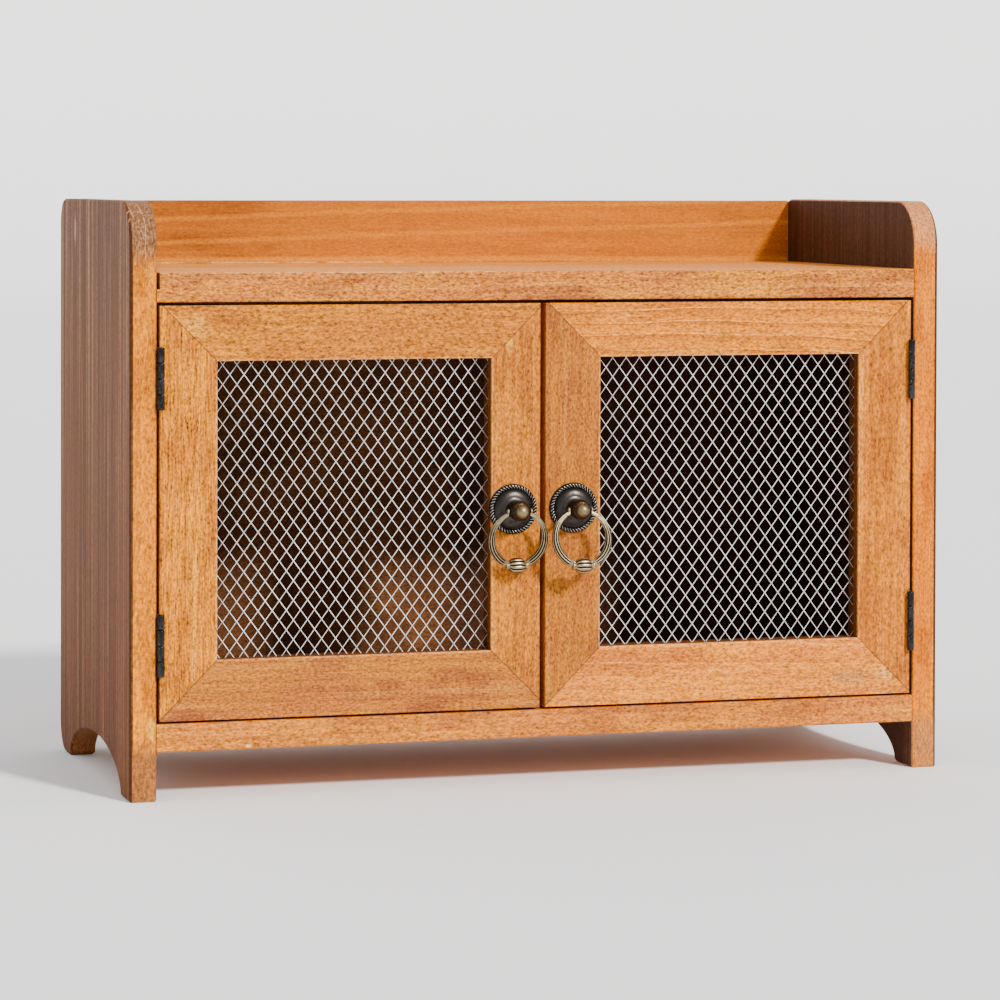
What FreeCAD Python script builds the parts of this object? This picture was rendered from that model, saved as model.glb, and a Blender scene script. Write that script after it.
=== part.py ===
"""Desktop cabinet: two board sides, a tray top with a gallery, and two inset mesh doors with ring pulls.

Millimetres, +Z up, the front at -Y, the origin on the floor under the middle of the cabinet and its pulls.
"""
import FreeCAD
import Part
import math
import os
from FreeCAD import Vector

os.makedirs("parts", exist_ok=True)

# Carcass boards
cabinet_width = 514.0
cabinet_depth = 228.0
cabinet_height = 355.0
side_thickness = 16.2
top_thickness = 17.6
bottom_thickness = 16.7
tray_depth = 42.3
base_height = 28.9
gallery_thickness = 9.5
board_edge_radius = 1.0

# Outline of a side board
front_corner_radius = 27.0
back_corner_radius = 15.0
back_foot_radius = 19.0
front_foot_length = 28.0
back_foot_length = 35.0
arch_height = 26.0
foot_toe_radius = 4.0

# Open slot at the top board's left end, over the tongue that meets the side
slot_width = 1.8
slot_height = 9.8

# Back panel, let into a rebate all round
back_thickness = 3.0
back_lap = 8.0
back_clearance = 0.3

# Dowels, all glued tight in their holes, with flats that let the glue rise
dowel_flat_count = 8
dowel_radius = 3.0
dowel_length = 28.0
dowel_side_depth = 10.0
end_dowel_count = 3
dowel_row_margin = 35.0
gallery_dowel_radius = 2.0
gallery_dowel_length = 16.0
gallery_dowel_count = 3
gallery_dowel_margin = 60.0

# Brads of the back panel, cut from flat wire with a head to both sides
brad_width = 1.2
brad_thickness = 1.0
brad_length = 13.0
brad_head_width = 2.8
brad_head_thickness = 0.6
brad_edge_count = 3
brad_side_count = 2

# Doors
door_thickness = 16.0
door_top_gap = 1.9
door_bottom_gap = 1.4
meeting_gap = 3.3
meeting_offset = -2.1
window_offset = 34.65
hinge_stile_width = 34.85
top_rail_width = 33.1
bottom_rail_width = 35.8
frame_edge_radius = 0.6

# Mesh, in a rebate behind the window, held by mitred strips
mesh_setback = 8.0
mesh_thickness = 0.8
mesh_rebate = 6.0
mesh_clearance = 0.5
mesh_pitch_across = 20.3
mesh_pitch_up = 27.5
strand_width = 1.2
strip_room = 0.1
strip_pin_width = 1.0
strip_pin_length = 10.0
strip_pin_margin = 40.0

# Folded nails across the mitres, flush with the back of the door
mitre_nail_leg = 6.0
mitre_nail_thickness = 0.8
mitre_nail_depth = 8.0

# Butt hinges
leaf_thickness = 0.8
leaf_clearance = 0.1
hinge_height = 37.2
leaf_width = 14.0
knuckle_radius = 2.1
knuckle_count = 4
knuckle_clearance = 0.1
knuckle_standoff = 0.3
barrel_flat_count = 10
hinge_pin_radius = 0.9
hinge_pin_clearance = 0.05
hinge_top_margin = 24.4
hinge_bottom_margin = 26.9

# Countersunk screws of the hinges
screw_flat_count = 6
screw_radius = 1.2
screw_head_radius = 2.2
screw_length = 12.0
screw_margin = 8.0

# Ring pulls
pull_height = 121.3
left_pull_inset = 13.3
right_pull_inset = 17.5
plate_radius = 15.5
rim_radius = 1.5
dome_radius = 12.9
dome_height = 4.6
plate_edge_thickness = 1.2
collar_radius = 4.4
neck_radius = 3.6
hub_radius = 6.0
hub_length = 8.0
ring_standoff = 15.0
ball_radius = 3.75
ball_standoff = 20.0
rim_step_count = 2
dome_step_count = 2
ball_step_count = 4
plate_flat_count = 36
post_flat_count = 18
pull_screw_radius = 1.9
pull_screw_head_radius = 3.8
pull_screw_head_height = 2.2
ring_radius = 16.8
ring_drop = 17.2
ring_thick_radius = 2.3
ring_thin_radius = 1.0
ring_open_angle = 27.0
ring_eye_radius = 1.5
ring_eye_thickness = 1.8
ring_eye_gap = 0.3
ring_pin_radius = 0.9
ring_pin_clearance = 0.05
ring_pin_depth = 2.0
bead_length = 11.0
bead_radius = 4.8
bead_end_radius = 2.6
bead_step_count = 4
ring_flat_count = 8
ring_station_count = 8
left_ring_tilt = -10.0
right_ring_tilt = 10.0

# Magnetic catches and their strike plates
catch_offset = 62.0
catch_width = 24.0
catch_depth = 13.0
catch_height = 11.0
catch_ear = 9.0
catch_ear_thickness = 3.0
catch_gap = 0.3
magnet_width = 16.0
magnet_height = 6.0
magnet_depth = 9.0
strike_width = 30.0
strike_height = 9.0
strike_margin = 1.0
strike_thickness = 1.0
catch_screw_radius = 1.4
catch_screw_head_radius = 2.6
catch_screw_head_height = 1.6
catch_screw_length = 10.0

# Every cut runs past the piece by this much
overrun = 5.0

# Levels and faces worked out from the sizes above
right_ring_reach = (ring_drop + ring_radius) * math.sin(math.radians(right_ring_tilt))
pull_reach = max(ball_standoff + ball_radius, ring_standoff + right_ring_reach + bead_radius)
front = (pull_reach - cabinet_depth) / 2
back = front + cabinet_depth
half_width = cabinet_width / 2
inner_face = half_width - side_thickness
tray_floor = cabinet_height - tray_depth
top_underside = tray_floor - top_thickness
bottom_top = base_height + bottom_thickness
door_bottom = bottom_top + door_bottom_gap
door_top = top_underside - door_top_gap
door_back = front + door_thickness
door_side_gap = 2 * leaf_thickness + leaf_clearance
door_edge = inner_face - door_side_gap
window_bottom = door_bottom + bottom_rail_width
window_top = door_top - top_rail_width
window_outer = door_edge - hinge_stile_width
mesh_front = front + mesh_setback
mesh_back = mesh_front + mesh_thickness
pin_x = inner_face - knuckle_radius
pin_y = front - knuckle_radius - knuckle_standoff
strike_z = door_top - strike_margin - strike_height / 2
hinge_bottoms = (
    door_bottom + hinge_bottom_margin,
    door_top - hinge_top_margin - hinge_height,
)
pull_z = door_bottom + pull_height
LEFT = -1
RIGHT = 1
SIDE_NAMES = {LEFT: "left", RIGHT: "right"}
X_AXIS = Vector(1, 0, 0)
Y_AXIS = Vector(0, 1, 0)
Z_AXIS = Vector(0, 0, 1)


def save(shape, name):
    """Write one sub-part."""
    shape.exportStep("parts/" + name + ".step")


def block(x0, x1, y0, y1, z0, z1):
    """A box between two corners, given in any order."""
    low = Vector(min(x0, x1), min(y0, y1), min(z0, z1))
    return Part.makeBox(abs(x1 - x0), abs(y1 - y0), abs(z1 - z0), low)


def plate(points, direction):
    """A flat outline pushed along a direction."""
    outline = Part.makePolygon(points + points[:1])
    return Part.Face(outline).extrude(direction)


def outline(radius, flats, centre, way, across):
    """The corners of an even outline square to a direction."""
    upward = way.cross(across)
    turns = [2 * math.pi * (index + 1 / 2) / flats for index in range(flats)]
    return [centre + across * (radius * math.cos(turn)) + upward * (radius * math.sin(turn)) for turn in turns]


def skinned(outlines):
    """A solid closed by flat faces between outlines that have the same number of corners."""
    skin = [Part.Face(Part.makePolygon(points + points[:1])) for points in (outlines[0], outlines[-1])]
    for low, high in zip(outlines, outlines[1:]):
        for index, corner in enumerate(low):
            ahead = (index + 1) % len(low)
            straight = (low[ahead] - corner).cross(high[ahead] - high[index]).Length < overrun / 1e6
            if straight:
                patches = [[corner, low[ahead], high[ahead], high[index]]]
            else:
                patches = [[corner, low[ahead], high[ahead]], [corner, high[ahead], high[index]]]
            skin += [Part.Face(Part.makePolygon(patch + patch[:1])) for patch in patches]
    solid = Part.Solid(Part.Shell(skin))
    return solid if solid.Volume > 0 else solid.reversed()


def stacked(stations, flats, start, way):
    """A straight piece with flats: pairs of the distance along it and the corner radius there."""
    across = Z_AXIS if abs(way.x) > 1 / 2 else X_AXIS
    return skinned([outline(radius, flats, start + way * distance, way, across) for distance, radius in stations])


def bar(radius, flats, length, start, way):
    """A straight bar with flats, from a point."""
    across = Z_AXIS if abs(way.x) > 1 / 2 else X_AXIS
    return plate(outline(radius, flats, start, way, across), way * length)


def spread(low, high, count):
    """Evenly spaced places with one at each end."""
    step = (high - low) / (count - 1)
    return [low + step * index for index in range(count)]


def rounded(shape, radius, edges):
    """Ease the edges of a board."""
    return shape.makeFillet(radius, edges)


# Carcass

def side_outline():
    """The side board seen from the side: rounded corners and a foot at each end."""
    quarter = math.sqrt(2) / 2
    arch_front = front + front_foot_length
    arch_back = back - back_foot_length

    def corner(centre_y, centre_z, radius, start, end, way_y, way_z):
        middle = Vector(0, centre_y + way_y * radius * quarter, centre_z + way_z * radius * quarter)
        return Part.Arc(start, middle, end).toShape()

    p_front = Vector(0, front, cabinet_height - front_corner_radius)
    p_top_front = Vector(0, front + front_corner_radius, cabinet_height)
    p_top_back = Vector(0, back - back_corner_radius, cabinet_height)
    p_back = Vector(0, back, cabinet_height - back_corner_radius)
    p_back_low = Vector(0, back, back_foot_radius)
    p_foot_back = Vector(0, back - back_foot_radius, 0)
    p_foot_front = Vector(0, front, 0)
    edges = [
        Part.LineSegment(p_foot_front, p_front).toShape(),
        corner(p_top_front.y, p_front.z, front_corner_radius, p_front, p_top_front, -1, 1),
        Part.LineSegment(p_top_front, p_top_back).toShape(),
        corner(p_top_back.y, p_back.z, back_corner_radius, p_top_back, p_back, 1, 1),
        Part.LineSegment(p_back, p_back_low).toShape(),
        corner(p_foot_back.y, p_back_low.z, back_foot_radius, p_back_low, p_foot_back, 1, -1),
        Part.LineSegment(p_foot_back, p_foot_front).toShape(),
    ]
    board = Part.Face(Part.Wire(edges)).extrude(Vector(side_thickness, 0, 0))

    # the arch between the feet is half an ellipse standing on the floor
    arch_middle = (arch_front + arch_back) / 2
    half_span = (arch_back - arch_front) / 2
    centre = Vector(-overrun, arch_middle, 0)
    along = Vector(-overrun, arch_middle + half_span, 0)
    upward = Vector(-overrun, arch_middle, arch_height)
    ellipse = Part.Ellipse(along, upward, centre).toShape()
    arch = Part.Face(Part.Wire([ellipse])).extrude(Vector(side_thickness + 2 * overrun, 0, 0))
    board = board.cut(arch)
    toes = [
        edge for edge in board.Edges
        if len(edge.Vertexes) == 2
        and max(abs(vertex.Z) for vertex in edge.Vertexes) < board_edge_radius
        and any(abs(edge.Vertexes[0].Y - end) < board_edge_radius for end in (arch_front, arch_back))
        and abs(edge.Vertexes[0].Y - edge.Vertexes[1].Y) < board_edge_radius
    ]
    board = rounded(board, foot_toe_radius, toes)
    rim = [edge for edge in board.Edges if edge.BoundBox.XLength < board_edge_radius]
    return board.makeChamfer(board_edge_radius, rim)


def side_board(side, fasteners):
    """One side board, rebated for the back panel and bored for its dowels and screws."""
    board = side_outline()
    board.translate(Vector(inner_face, 0, 0))
    if side == LEFT:
        board = board.mirror(Vector(0, 0, 0), X_AXIS)
    rebate = block(
        side * (inner_face - overrun), side * (inner_face + back_lap),
        back - back_thickness, back + overrun,
        bottom_top - back_lap, top_underside + back_lap,
    )
    return board.cut(rebate).cut(fasteners)


def cross_board(low, high, rebate_low, rebate_high):
    """A board between the sides, front edge flush, rebated at the back for the panel."""
    board = block(-inner_face, inner_face, front, back, low, high)
    long_edges = [
        edge for edge in board.Edges
        if edge.BoundBox.XLength > inner_face and edge.BoundBox.YMax < 0
    ]
    board = rounded(board, board_edge_radius, long_edges)
    rebate = block(
        -inner_face - overrun, inner_face + overrun,
        back - back_thickness, back + overrun, rebate_low, rebate_high,
    )
    return board.cut(rebate)


def carcass_dowels():
    """Three dowels at each end of the top and the bottom board."""
    dowels = []
    for side in (LEFT, RIGHT):
        for level in (base_height + bottom_thickness / 2, top_underside + top_thickness / 2):
            for place in spread(front + dowel_row_margin, back - dowel_row_margin, end_dowel_count):
                start = Vector(side * (inner_face + dowel_side_depth), place, level)
                dowels.append(bar(dowel_radius, dowel_flat_count, dowel_length, start, X_AXIS * -side))
    return Part.makeCompound(dowels)


def gallery_dowels():
    """Upright dowels between the gallery board and the top board."""
    reach = inner_face - gallery_dowel_margin
    level = tray_floor - gallery_dowel_length / 2
    depth = back - gallery_thickness / 2
    return Part.makeCompound([
        bar(gallery_dowel_radius, dowel_flat_count, gallery_dowel_length, Vector(place, depth, level), Z_AXIS)
        for place in spread(-reach, reach, gallery_dowel_count)
    ])


def gallery_board():
    """The board behind the tray, its top edge rounded back like the corners of the sides."""
    quarter = math.sqrt(2) / 2
    low_back = Vector(-inner_face, back, tray_floor)
    low_front = Vector(-inner_face, back - gallery_thickness, tray_floor)
    centre_y = back - back_corner_radius
    centre_z = cabinet_height - back_corner_radius
    rise = math.sqrt(back_corner_radius ** 2 - (back_corner_radius - gallery_thickness) ** 2)
    top_front = Vector(-inner_face, back - gallery_thickness, centre_z + rise)
    bend = Vector(-inner_face, centre_y + back_corner_radius * quarter, centre_z + back_corner_radius * quarter)
    top_back = Vector(-inner_face, back, centre_z)
    edges = [
        Part.LineSegment(low_back, low_front).toShape(),
        Part.LineSegment(low_front, top_front).toShape(),
        Part.Arc(top_front, bend, top_back).toShape(),
        Part.LineSegment(top_back, low_back).toShape(),
    ]
    return Part.Face(Part.Wire(edges)).extrude(X_AXIS * (2 * inner_face))


def back_brads():
    """Brads through the edge of the back panel."""
    middle = back_lap / 2
    high = top_underside + middle
    low = bottom_top - middle
    reach = inner_face + middle
    columns = spread(-reach + back_lap, reach - back_lap, brad_edge_count)
    places = [(x, z) for x in columns for z in (low, high)]
    rows = [low + (high - low) * (index + 1) / (brad_side_count + 1) for index in range(brad_side_count)]
    places += [(side * reach, z) for side in (LEFT, RIGHT) for z in rows]
    outline = [(brad_head_width, 0), (brad_head_width, brad_head_thickness), (brad_width, brad_head_thickness)]
    outline += [(brad_width, brad_length)]
    brads = []
    for x, z in places:
        half = [(width / 2, depth) for width, depth in outline]
        corners = half + [(-width, depth) for width, depth in reversed(half)]
        points = [Vector(x + width, back - depth, z - brad_thickness / 2) for width, depth in corners]
        brads.append(plate(points, Z_AXIS * brad_thickness))
    return Part.makeCompound(brads)


def back_panel(brads):
    """The thin panel that closes the back under the tray."""
    reach = inner_face + back_lap - back_clearance
    panel = block(
        -reach, reach, back - back_thickness, back,
        bottom_top - back_lap + back_clearance, top_underside + back_lap - back_clearance,
    )
    return panel.cut(brads)


# Hinges

def hinge_plate(side, outer, low):
    """The flat of a leaf, standing in the gap beside the door with its face at x = outer."""
    inner = outer - leaf_thickness
    return block(side * inner, side * outer, front, front + leaf_width, low, low + hinge_height)


def round_bore(side, low):
    """The bore of a door leaf, that turns on the pin."""
    below = Vector(side * pin_x, pin_y, low - overrun)
    return Part.makeCylinder(hinge_pin_radius + hinge_pin_clearance, hinge_height + 2 * overrun, below)


def tight_bore(side, low):
    """The bore of a frame leaf, whose flats grip the pin."""
    below = Vector(side * pin_x, pin_y, low - overrun)
    corner_radius = hinge_pin_radius / math.cos(math.pi / barrel_flat_count)
    return bar(corner_radius, barrel_flat_count, hinge_height + 2 * overrun, below, Z_AXIS)


def hinge_leaf(side, outer, low, first, bore):
    """A leaf with every other knuckle rolled round the pin."""
    leaf = hinge_plate(side, outer, low)
    step = hinge_height / knuckle_count
    axis = Vector(side * pin_x, pin_y, low)
    for index in range(first, knuckle_count, 2):
        bottom = low + index * step + knuckle_clearance / 2
        top = low + (index + 1) * step - knuckle_clearance / 2
        start = Vector(axis.x, axis.y, bottom)
        barrel = bar(knuckle_radius, barrel_flat_count, top - bottom, start, Z_AXIS)
        web = block(side * (outer - leaf_thickness), side * outer, pin_y, front, bottom, top)
        leaf = leaf.fuse(web).fuse(barrel)
    return leaf.removeSplitter().cut(bore)


def hinge_pins():
    """The four pins, each tight in its frame leaf."""
    pins = []
    for side in (LEFT, RIGHT):
        for low in hinge_bottoms:
            foot = Vector(side * pin_x, pin_y, low)
            pins.append(Part.makeCylinder(hinge_pin_radius, hinge_height, foot))
    return Part.makeCompound(pins)


def hinge_screws(side, face, way):
    """Two countersunk screws in each leaf of one side, heads flush with the leaf's face."""
    screws = []
    for low in hinge_bottoms:
        for height in (low + screw_margin, low + hinge_height - screw_margin):
            head_centre = Vector(side * face, front + leaf_width / 2, height)
            profile = [(0, screw_head_radius), (leaf_thickness, screw_radius), (screw_length, screw_radius)]
            screws.append(stacked(profile, screw_flat_count, head_centre, X_AXIS * (side * way)))
    return Part.makeCompound(screws)


# Doors

def door_slab(side):
    """The outline of a whole door with its window, before the mitres are cut."""
    meeting = meeting_edge(side)
    slab = block(side * door_edge, meeting, front, door_back, door_bottom, door_top)
    window = block(
        side * window_offset, side * window_outer, front - overrun, door_back + overrun,
        window_bottom, window_top,
    )
    rebate = block(
        side * (window_offset - mesh_rebate), side * (window_outer + mesh_rebate),
        mesh_front, door_back + overrun,
        window_bottom - mesh_rebate, window_top + mesh_rebate,
    )
    slab = slab.cut(window).cut(rebate)
    eased = [
        edge for edge in slab.Edges
        if edge.BoundBox.YMax < front + frame_edge_radius and edge.BoundBox.YLength < frame_edge_radius
    ]
    return rounded(slab, frame_edge_radius, eased)


def meeting_edge(side):
    """Where a door ends beside the gap in the middle."""
    return meeting_offset + side * meeting_gap / 2


def mitre_wedge(side, member):
    """The space of one frame member between its two mitres, running past the door's edges."""
    out = max(hinge_stile_width, top_rail_width, bottom_rail_width) + overrun
    low_x, high_x = sorted((side * window_offset, side * window_outer))
    if member.endswith("stile"):
        edge = side * (window_outer if member == "hinge_stile" else window_offset)
        way = 1 if edge == high_x else -1
        corners = [
            (edge - way * overrun, window_bottom + overrun),
            (edge + way * out, window_bottom - out),
            (edge + way * out, window_top + out),
            (edge - way * overrun, window_top - overrun),
        ]
    else:
        edge = window_top if member == "top_rail" else window_bottom
        way = 1 if edge == window_top else -1
        corners = [
            (low_x + overrun, edge - way * overrun),
            (low_x - out, edge + way * out),
            (high_x + out, edge + way * out),
            (high_x - overrun, edge - way * overrun),
        ]
    points = [Vector(x, front - overrun, z) for x, z in corners]
    return plate(points, Y_AXIS * (door_thickness + 2 * overrun))


def mitre_nails(side):
    """A folded nail across each mitre, driven in flush from the back."""
    nails = []
    for corner_x, way_x in ((side * window_outer, side), (side * window_offset, -side)):
        for corner_z, way_z in ((window_bottom, -1), (window_top, 1)):
            start = mesh_rebate + mitre_nail_leg
            middle = Vector(corner_x + way_x * start, door_back, corner_z + way_z * start)
            across = Vector(way_x * mitre_nail_thickness, 0, way_z * mitre_nail_thickness)
            tip_stile = middle + Vector(way_x * mitre_nail_leg, 0, -way_z * mitre_nail_thickness)
            tip_rail = middle + Vector(-way_x * mitre_nail_thickness, 0, way_z * mitre_nail_leg)
            points = [middle, tip_stile, tip_stile + across, middle + across * 2, tip_rail + across, tip_rail]
            nails.append(plate(points, -Y_AXIS * mitre_nail_depth))
    return Part.makeCompound(nails)


def door_mesh(side):
    """A flat net of diamonds, cut square at its edges and held in the rebate."""
    reach = mesh_rebate - mesh_clearance
    left, right = sorted((side * window_offset, side * window_outer))
    left -= reach
    right += reach
    low = window_bottom - reach
    high = window_top + reach
    middle = Vector((left + right) / 2, mesh_front, (low + high) / 2)
    slope = math.hypot(mesh_pitch_across, mesh_pitch_up) / 2
    half_x = mesh_pitch_across / 2 - strand_width * slope / mesh_pitch_up
    half_z = half_x * mesh_pitch_up / mesh_pitch_across
    columns = math.ceil((right - left) / 2 / mesh_pitch_across) + 1
    rows = math.ceil((high - low) / mesh_pitch_up) + 1
    sheet = Part.Face(Part.makePolygon([
        Vector(left, mesh_front, low), Vector(right, mesh_front, low),
        Vector(right, mesh_front, high), Vector(left, mesh_front, high),
        Vector(left, mesh_front, low),
    ]))
    gaps = []
    for row in range(-rows, rows + 1):
        for column in range(-columns, columns + 1):
            x = middle.x + (column + (row % 2) / 2) * mesh_pitch_across
            z = middle.z + row * mesh_pitch_up / 2
            if left - half_x < x < right + half_x and low - half_z < z < high + half_z:
                corners = [
                    Vector(x - half_x, mesh_front, z), Vector(x, mesh_front, z - half_z),
                    Vector(x + half_x, mesh_front, z), Vector(x, mesh_front, z + half_z),
                    Vector(x - half_x, mesh_front, z),
                ]
                gaps.append(Part.Face(Part.makePolygon(corners)))
    net = max(sheet.cut(Part.makeCompound(gaps)).Faces, key=lambda face: face.Area)
    return net.extrude(Y_AXIS * mesh_thickness)


def mesh_strips(side):
    """Four mitred strips that hold the mesh in its rebate, flush with the back of the door."""
    outer = mesh_rebate - strip_room
    bar = block(
        side * (window_offset - outer), side * (window_outer + outer), mesh_back, door_back,
        window_bottom - outer, window_top + outer,
    ).cut(block(
        side * window_offset, side * window_outer, mesh_back - overrun, door_back + overrun,
        window_bottom, window_top,
    ))
    members = ("hinge_stile", "meeting_stile", "top_rail", "bottom_rail")
    return [bar.common(mitre_wedge(side, member)) for member in members]


def strip_pins(side):
    """Small square pins through the strips into the frame, two in each."""
    depth = (mesh_back + door_back) / 2
    half = strip_pin_width / 2
    low_x, high_x = sorted((side * window_offset, side * window_outer))
    pins = []
    for edge, way in ((low_x, LEFT), (high_x, RIGHT)):
        for z in (window_bottom + strip_pin_margin, window_top - strip_pin_margin):
            pins.append(block(edge, edge + way * strip_pin_length, depth - half, depth + half, z - half, z + half))
    for edge, way in ((window_bottom, -1), (window_top, 1)):
        for x in (low_x + strip_pin_margin, high_x - strip_pin_margin):
            pins.append(block(x - half, x + half, depth - half, depth + half, edge, edge + way * strip_pin_length))
    return Part.makeCompound(pins)


# Ring pulls

def pull_centre(side):
    """The middle of a pull, measured from the window's edge."""
    inset = left_pull_inset if side == LEFT else right_pull_inset
    return side * (window_offset - inset)


def pull_plate(side, screw):
    """The domed backplate with its raised rim, bored for the screw."""
    rim_centre = plate_radius - rim_radius
    profile = [(0, plate_radius)]
    for index in range(rim_step_count + 1):
        turn = math.pi * index / rim_step_count
        profile.append((
            plate_edge_thickness + rim_radius * math.sin(turn),
            rim_centre + rim_radius * math.cos(turn),
        ))
    rise = dome_height - plate_edge_thickness
    foot = rim_centre - rim_radius
    for index in range(1, dome_step_count + 1):
        share = index / dome_step_count
        radius = foot - share * (foot - collar_radius)
        profile.append((plate_edge_thickness + rise * math.sin(share * math.pi / 2), radius))
    start = Vector(pull_centre(side), front, pull_z)
    return stacked(profile, plate_flat_count, start, -Y_AXIS).cut(screw)


def pull_post(side, screw):
    """The turned post: collar on the dome, neck, hub that carries the ring, and ball end."""
    hub_back = ring_standoff - hub_length / 2
    hub_front = ring_standoff + hub_length / 2
    edge = hub_length / 4
    profile = [
        (dome_height, collar_radius),
        (dome_height + edge, neck_radius),
        (hub_back, neck_radius),
        (hub_back + edge, hub_radius),
        (hub_front - edge, hub_radius),
        (hub_front, ball_radius),
    ]
    first = math.asin((hub_front - ball_standoff) / ball_radius)
    for index in range(ball_step_count):
        turn = first + (math.pi / 2 - first) * index / ball_step_count
        profile.append((ball_standoff + ball_radius * math.sin(turn), ball_radius * math.cos(turn)))
    axis = Vector(pull_centre(side), front, pull_z)
    post = stacked(profile, post_flat_count, axis, -Y_AXIS)
    reach = hub_radius + overrun
    start = axis - Y_AXIS * ring_standoff - X_AXIS * reach
    bore = Part.makeCylinder(ring_pin_radius + ring_pin_clearance, 2 * reach, start, X_AXIS)
    return post.cut(bore).cut(screw)


def pull_screw(side):
    """The screw that draws the pull against the door from behind."""
    seat = Vector(pull_centre(side), door_back, pull_z)
    reach = door_thickness + ring_standoff - hub_length / 2
    head = bar(pull_screw_head_radius, screw_flat_count, pull_screw_head_height, seat, Y_AXIS)
    shank = bar(pull_screw_radius, screw_flat_count, reach, seat, -Y_AXIS)
    return head.fuse(shank).removeSplitter()


def pull_ring(side):
    """An open ring, thick below and thin at its ends, with a barrel bead at the bottom."""
    centre = Vector(pull_centre(side), front - ring_standoff, pull_z)
    middle = centre - Z_AXIS * ring_drop
    first = math.degrees(math.asin(bead_length / 4 / ring_radius))
    last = 180 - ring_open_angle
    eye_start = hub_radius + ring_eye_gap
    pieces = []
    for way in (LEFT, RIGHT):
        sections = []
        for angle in spread(first, last, ring_station_count):
            turn = math.radians(angle)
            share = (angle - first) / (last - first)
            taper = math.cos(math.pi * max(share - 1 / 3, 0) * 3 / 4)
            radius = ring_thin_radius + (ring_thick_radius - ring_thin_radius) * taper
            place = middle + Vector(way * ring_radius * math.sin(turn), 0, -ring_radius * math.cos(turn))
            along = Vector(way * math.cos(turn), 0, math.sin(turn))
            sections.append(outline(radius, ring_flat_count, place, along, Y_AXIS))
        # the end turns in to its eye beside the hub
        eye = centre + X_AXIS * (way * (eye_start + ring_eye_thickness / 2))
        sections.append(outline(ring_thin_radius, ring_flat_count, eye, Z_AXIS, Y_AXIS))
        pieces.append(skinned(sections))
        outward = X_AXIS * way
        pieces.append(bar(
            ring_eye_radius, ring_flat_count, ring_eye_thickness, centre + outward * eye_start, outward,
        ))
        pin_start = centre + outward * (hub_radius - ring_pin_depth)
        pin_length = ring_pin_depth + ring_eye_gap + ring_eye_thickness / 2
        pieces.append(bar(ring_pin_radius, ring_flat_count, pin_length, pin_start, outward))
    stations = []
    for index in range(bead_step_count + 1):
        share = index / bead_step_count
        swell = math.sin(math.pi * share)
        stations.append((bead_length * share, bead_end_radius + (bead_radius - bead_end_radius) * swell))
    bead_start = middle - Z_AXIS * ring_radius - X_AXIS * (bead_length / 2)
    bead = stacked(stations, ring_flat_count, bead_start, X_AXIS)
    ring = bead.fuse(pieces).removeSplitter()
    tilt = left_ring_tilt if side == LEFT else right_ring_tilt
    ring.rotate(centre, X_AXIS, -tilt)
    return ring


# Catches

def catch_housing(side, screws):
    """The plastic body of a magnetic catch, screwed up under the top board."""
    centre = side * catch_offset
    catch_front = door_back + strike_thickness + catch_gap
    body = block(
        centre - catch_width / 2, centre + catch_width / 2, catch_front, catch_front + catch_depth,
        top_underside - catch_height, top_underside,
    )
    reach = catch_width / 2 + catch_ear
    ears = block(
        centre - reach, centre + reach, catch_front + catch_ear_thickness,
        catch_front + catch_depth - catch_ear_thickness,
        top_underside - catch_ear_thickness, top_underside,
    )
    body = body.fuse(ears).removeSplitter()
    return body.cut(catch_magnet(side)).cut(screws)


def catch_magnet(side):
    """The magnet block, its face level with the front of the housing."""
    centre = side * catch_offset
    catch_front = door_back + strike_thickness + catch_gap
    middle = top_underside - catch_height / 2
    return block(
        centre - magnet_width / 2, centre + magnet_width / 2, catch_front, catch_front + magnet_depth,
        middle - magnet_height / 2, middle + magnet_height / 2,
    )


def catch_screws():
    """Pan head screws, two to each catch."""
    depth = door_back + strike_thickness + catch_gap + catch_depth / 2
    level = top_underside - catch_ear_thickness
    screws = []
    for side in (LEFT, RIGHT):
        for way in (LEFT, RIGHT):
            x = side * catch_offset + way * (catch_width + catch_ear) / 2
            seat = Vector(x, depth, level)
            head = bar(catch_screw_head_radius, screw_flat_count, catch_screw_head_height, seat, -Z_AXIS)
            shank = bar(catch_screw_radius, screw_flat_count, catch_screw_length, seat, Z_AXIS)
            screws.append(head.fuse(shank).removeSplitter())
    return Part.makeCompound(screws)


def strike_plate(side, screw):
    """The steel plate on the back of the door that the magnet pulls."""
    centre = side * catch_offset
    steel = block(
        centre - strike_width / 2, centre + strike_width / 2, door_back, door_back + strike_thickness,
        strike_z - strike_height / 2, strike_z + strike_height / 2,
    )
    return steel.cut(screw)


def strike_screw(side):
    """One countersunk screw, its head level with the strike plate."""
    seat = Vector(side * catch_offset, door_back + strike_thickness, strike_z)
    profile = [(0, screw_head_radius), (strike_thickness, screw_radius), (screw_length, screw_radius)]
    return stacked(profile, screw_flat_count, seat, -Y_AXIS)


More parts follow.
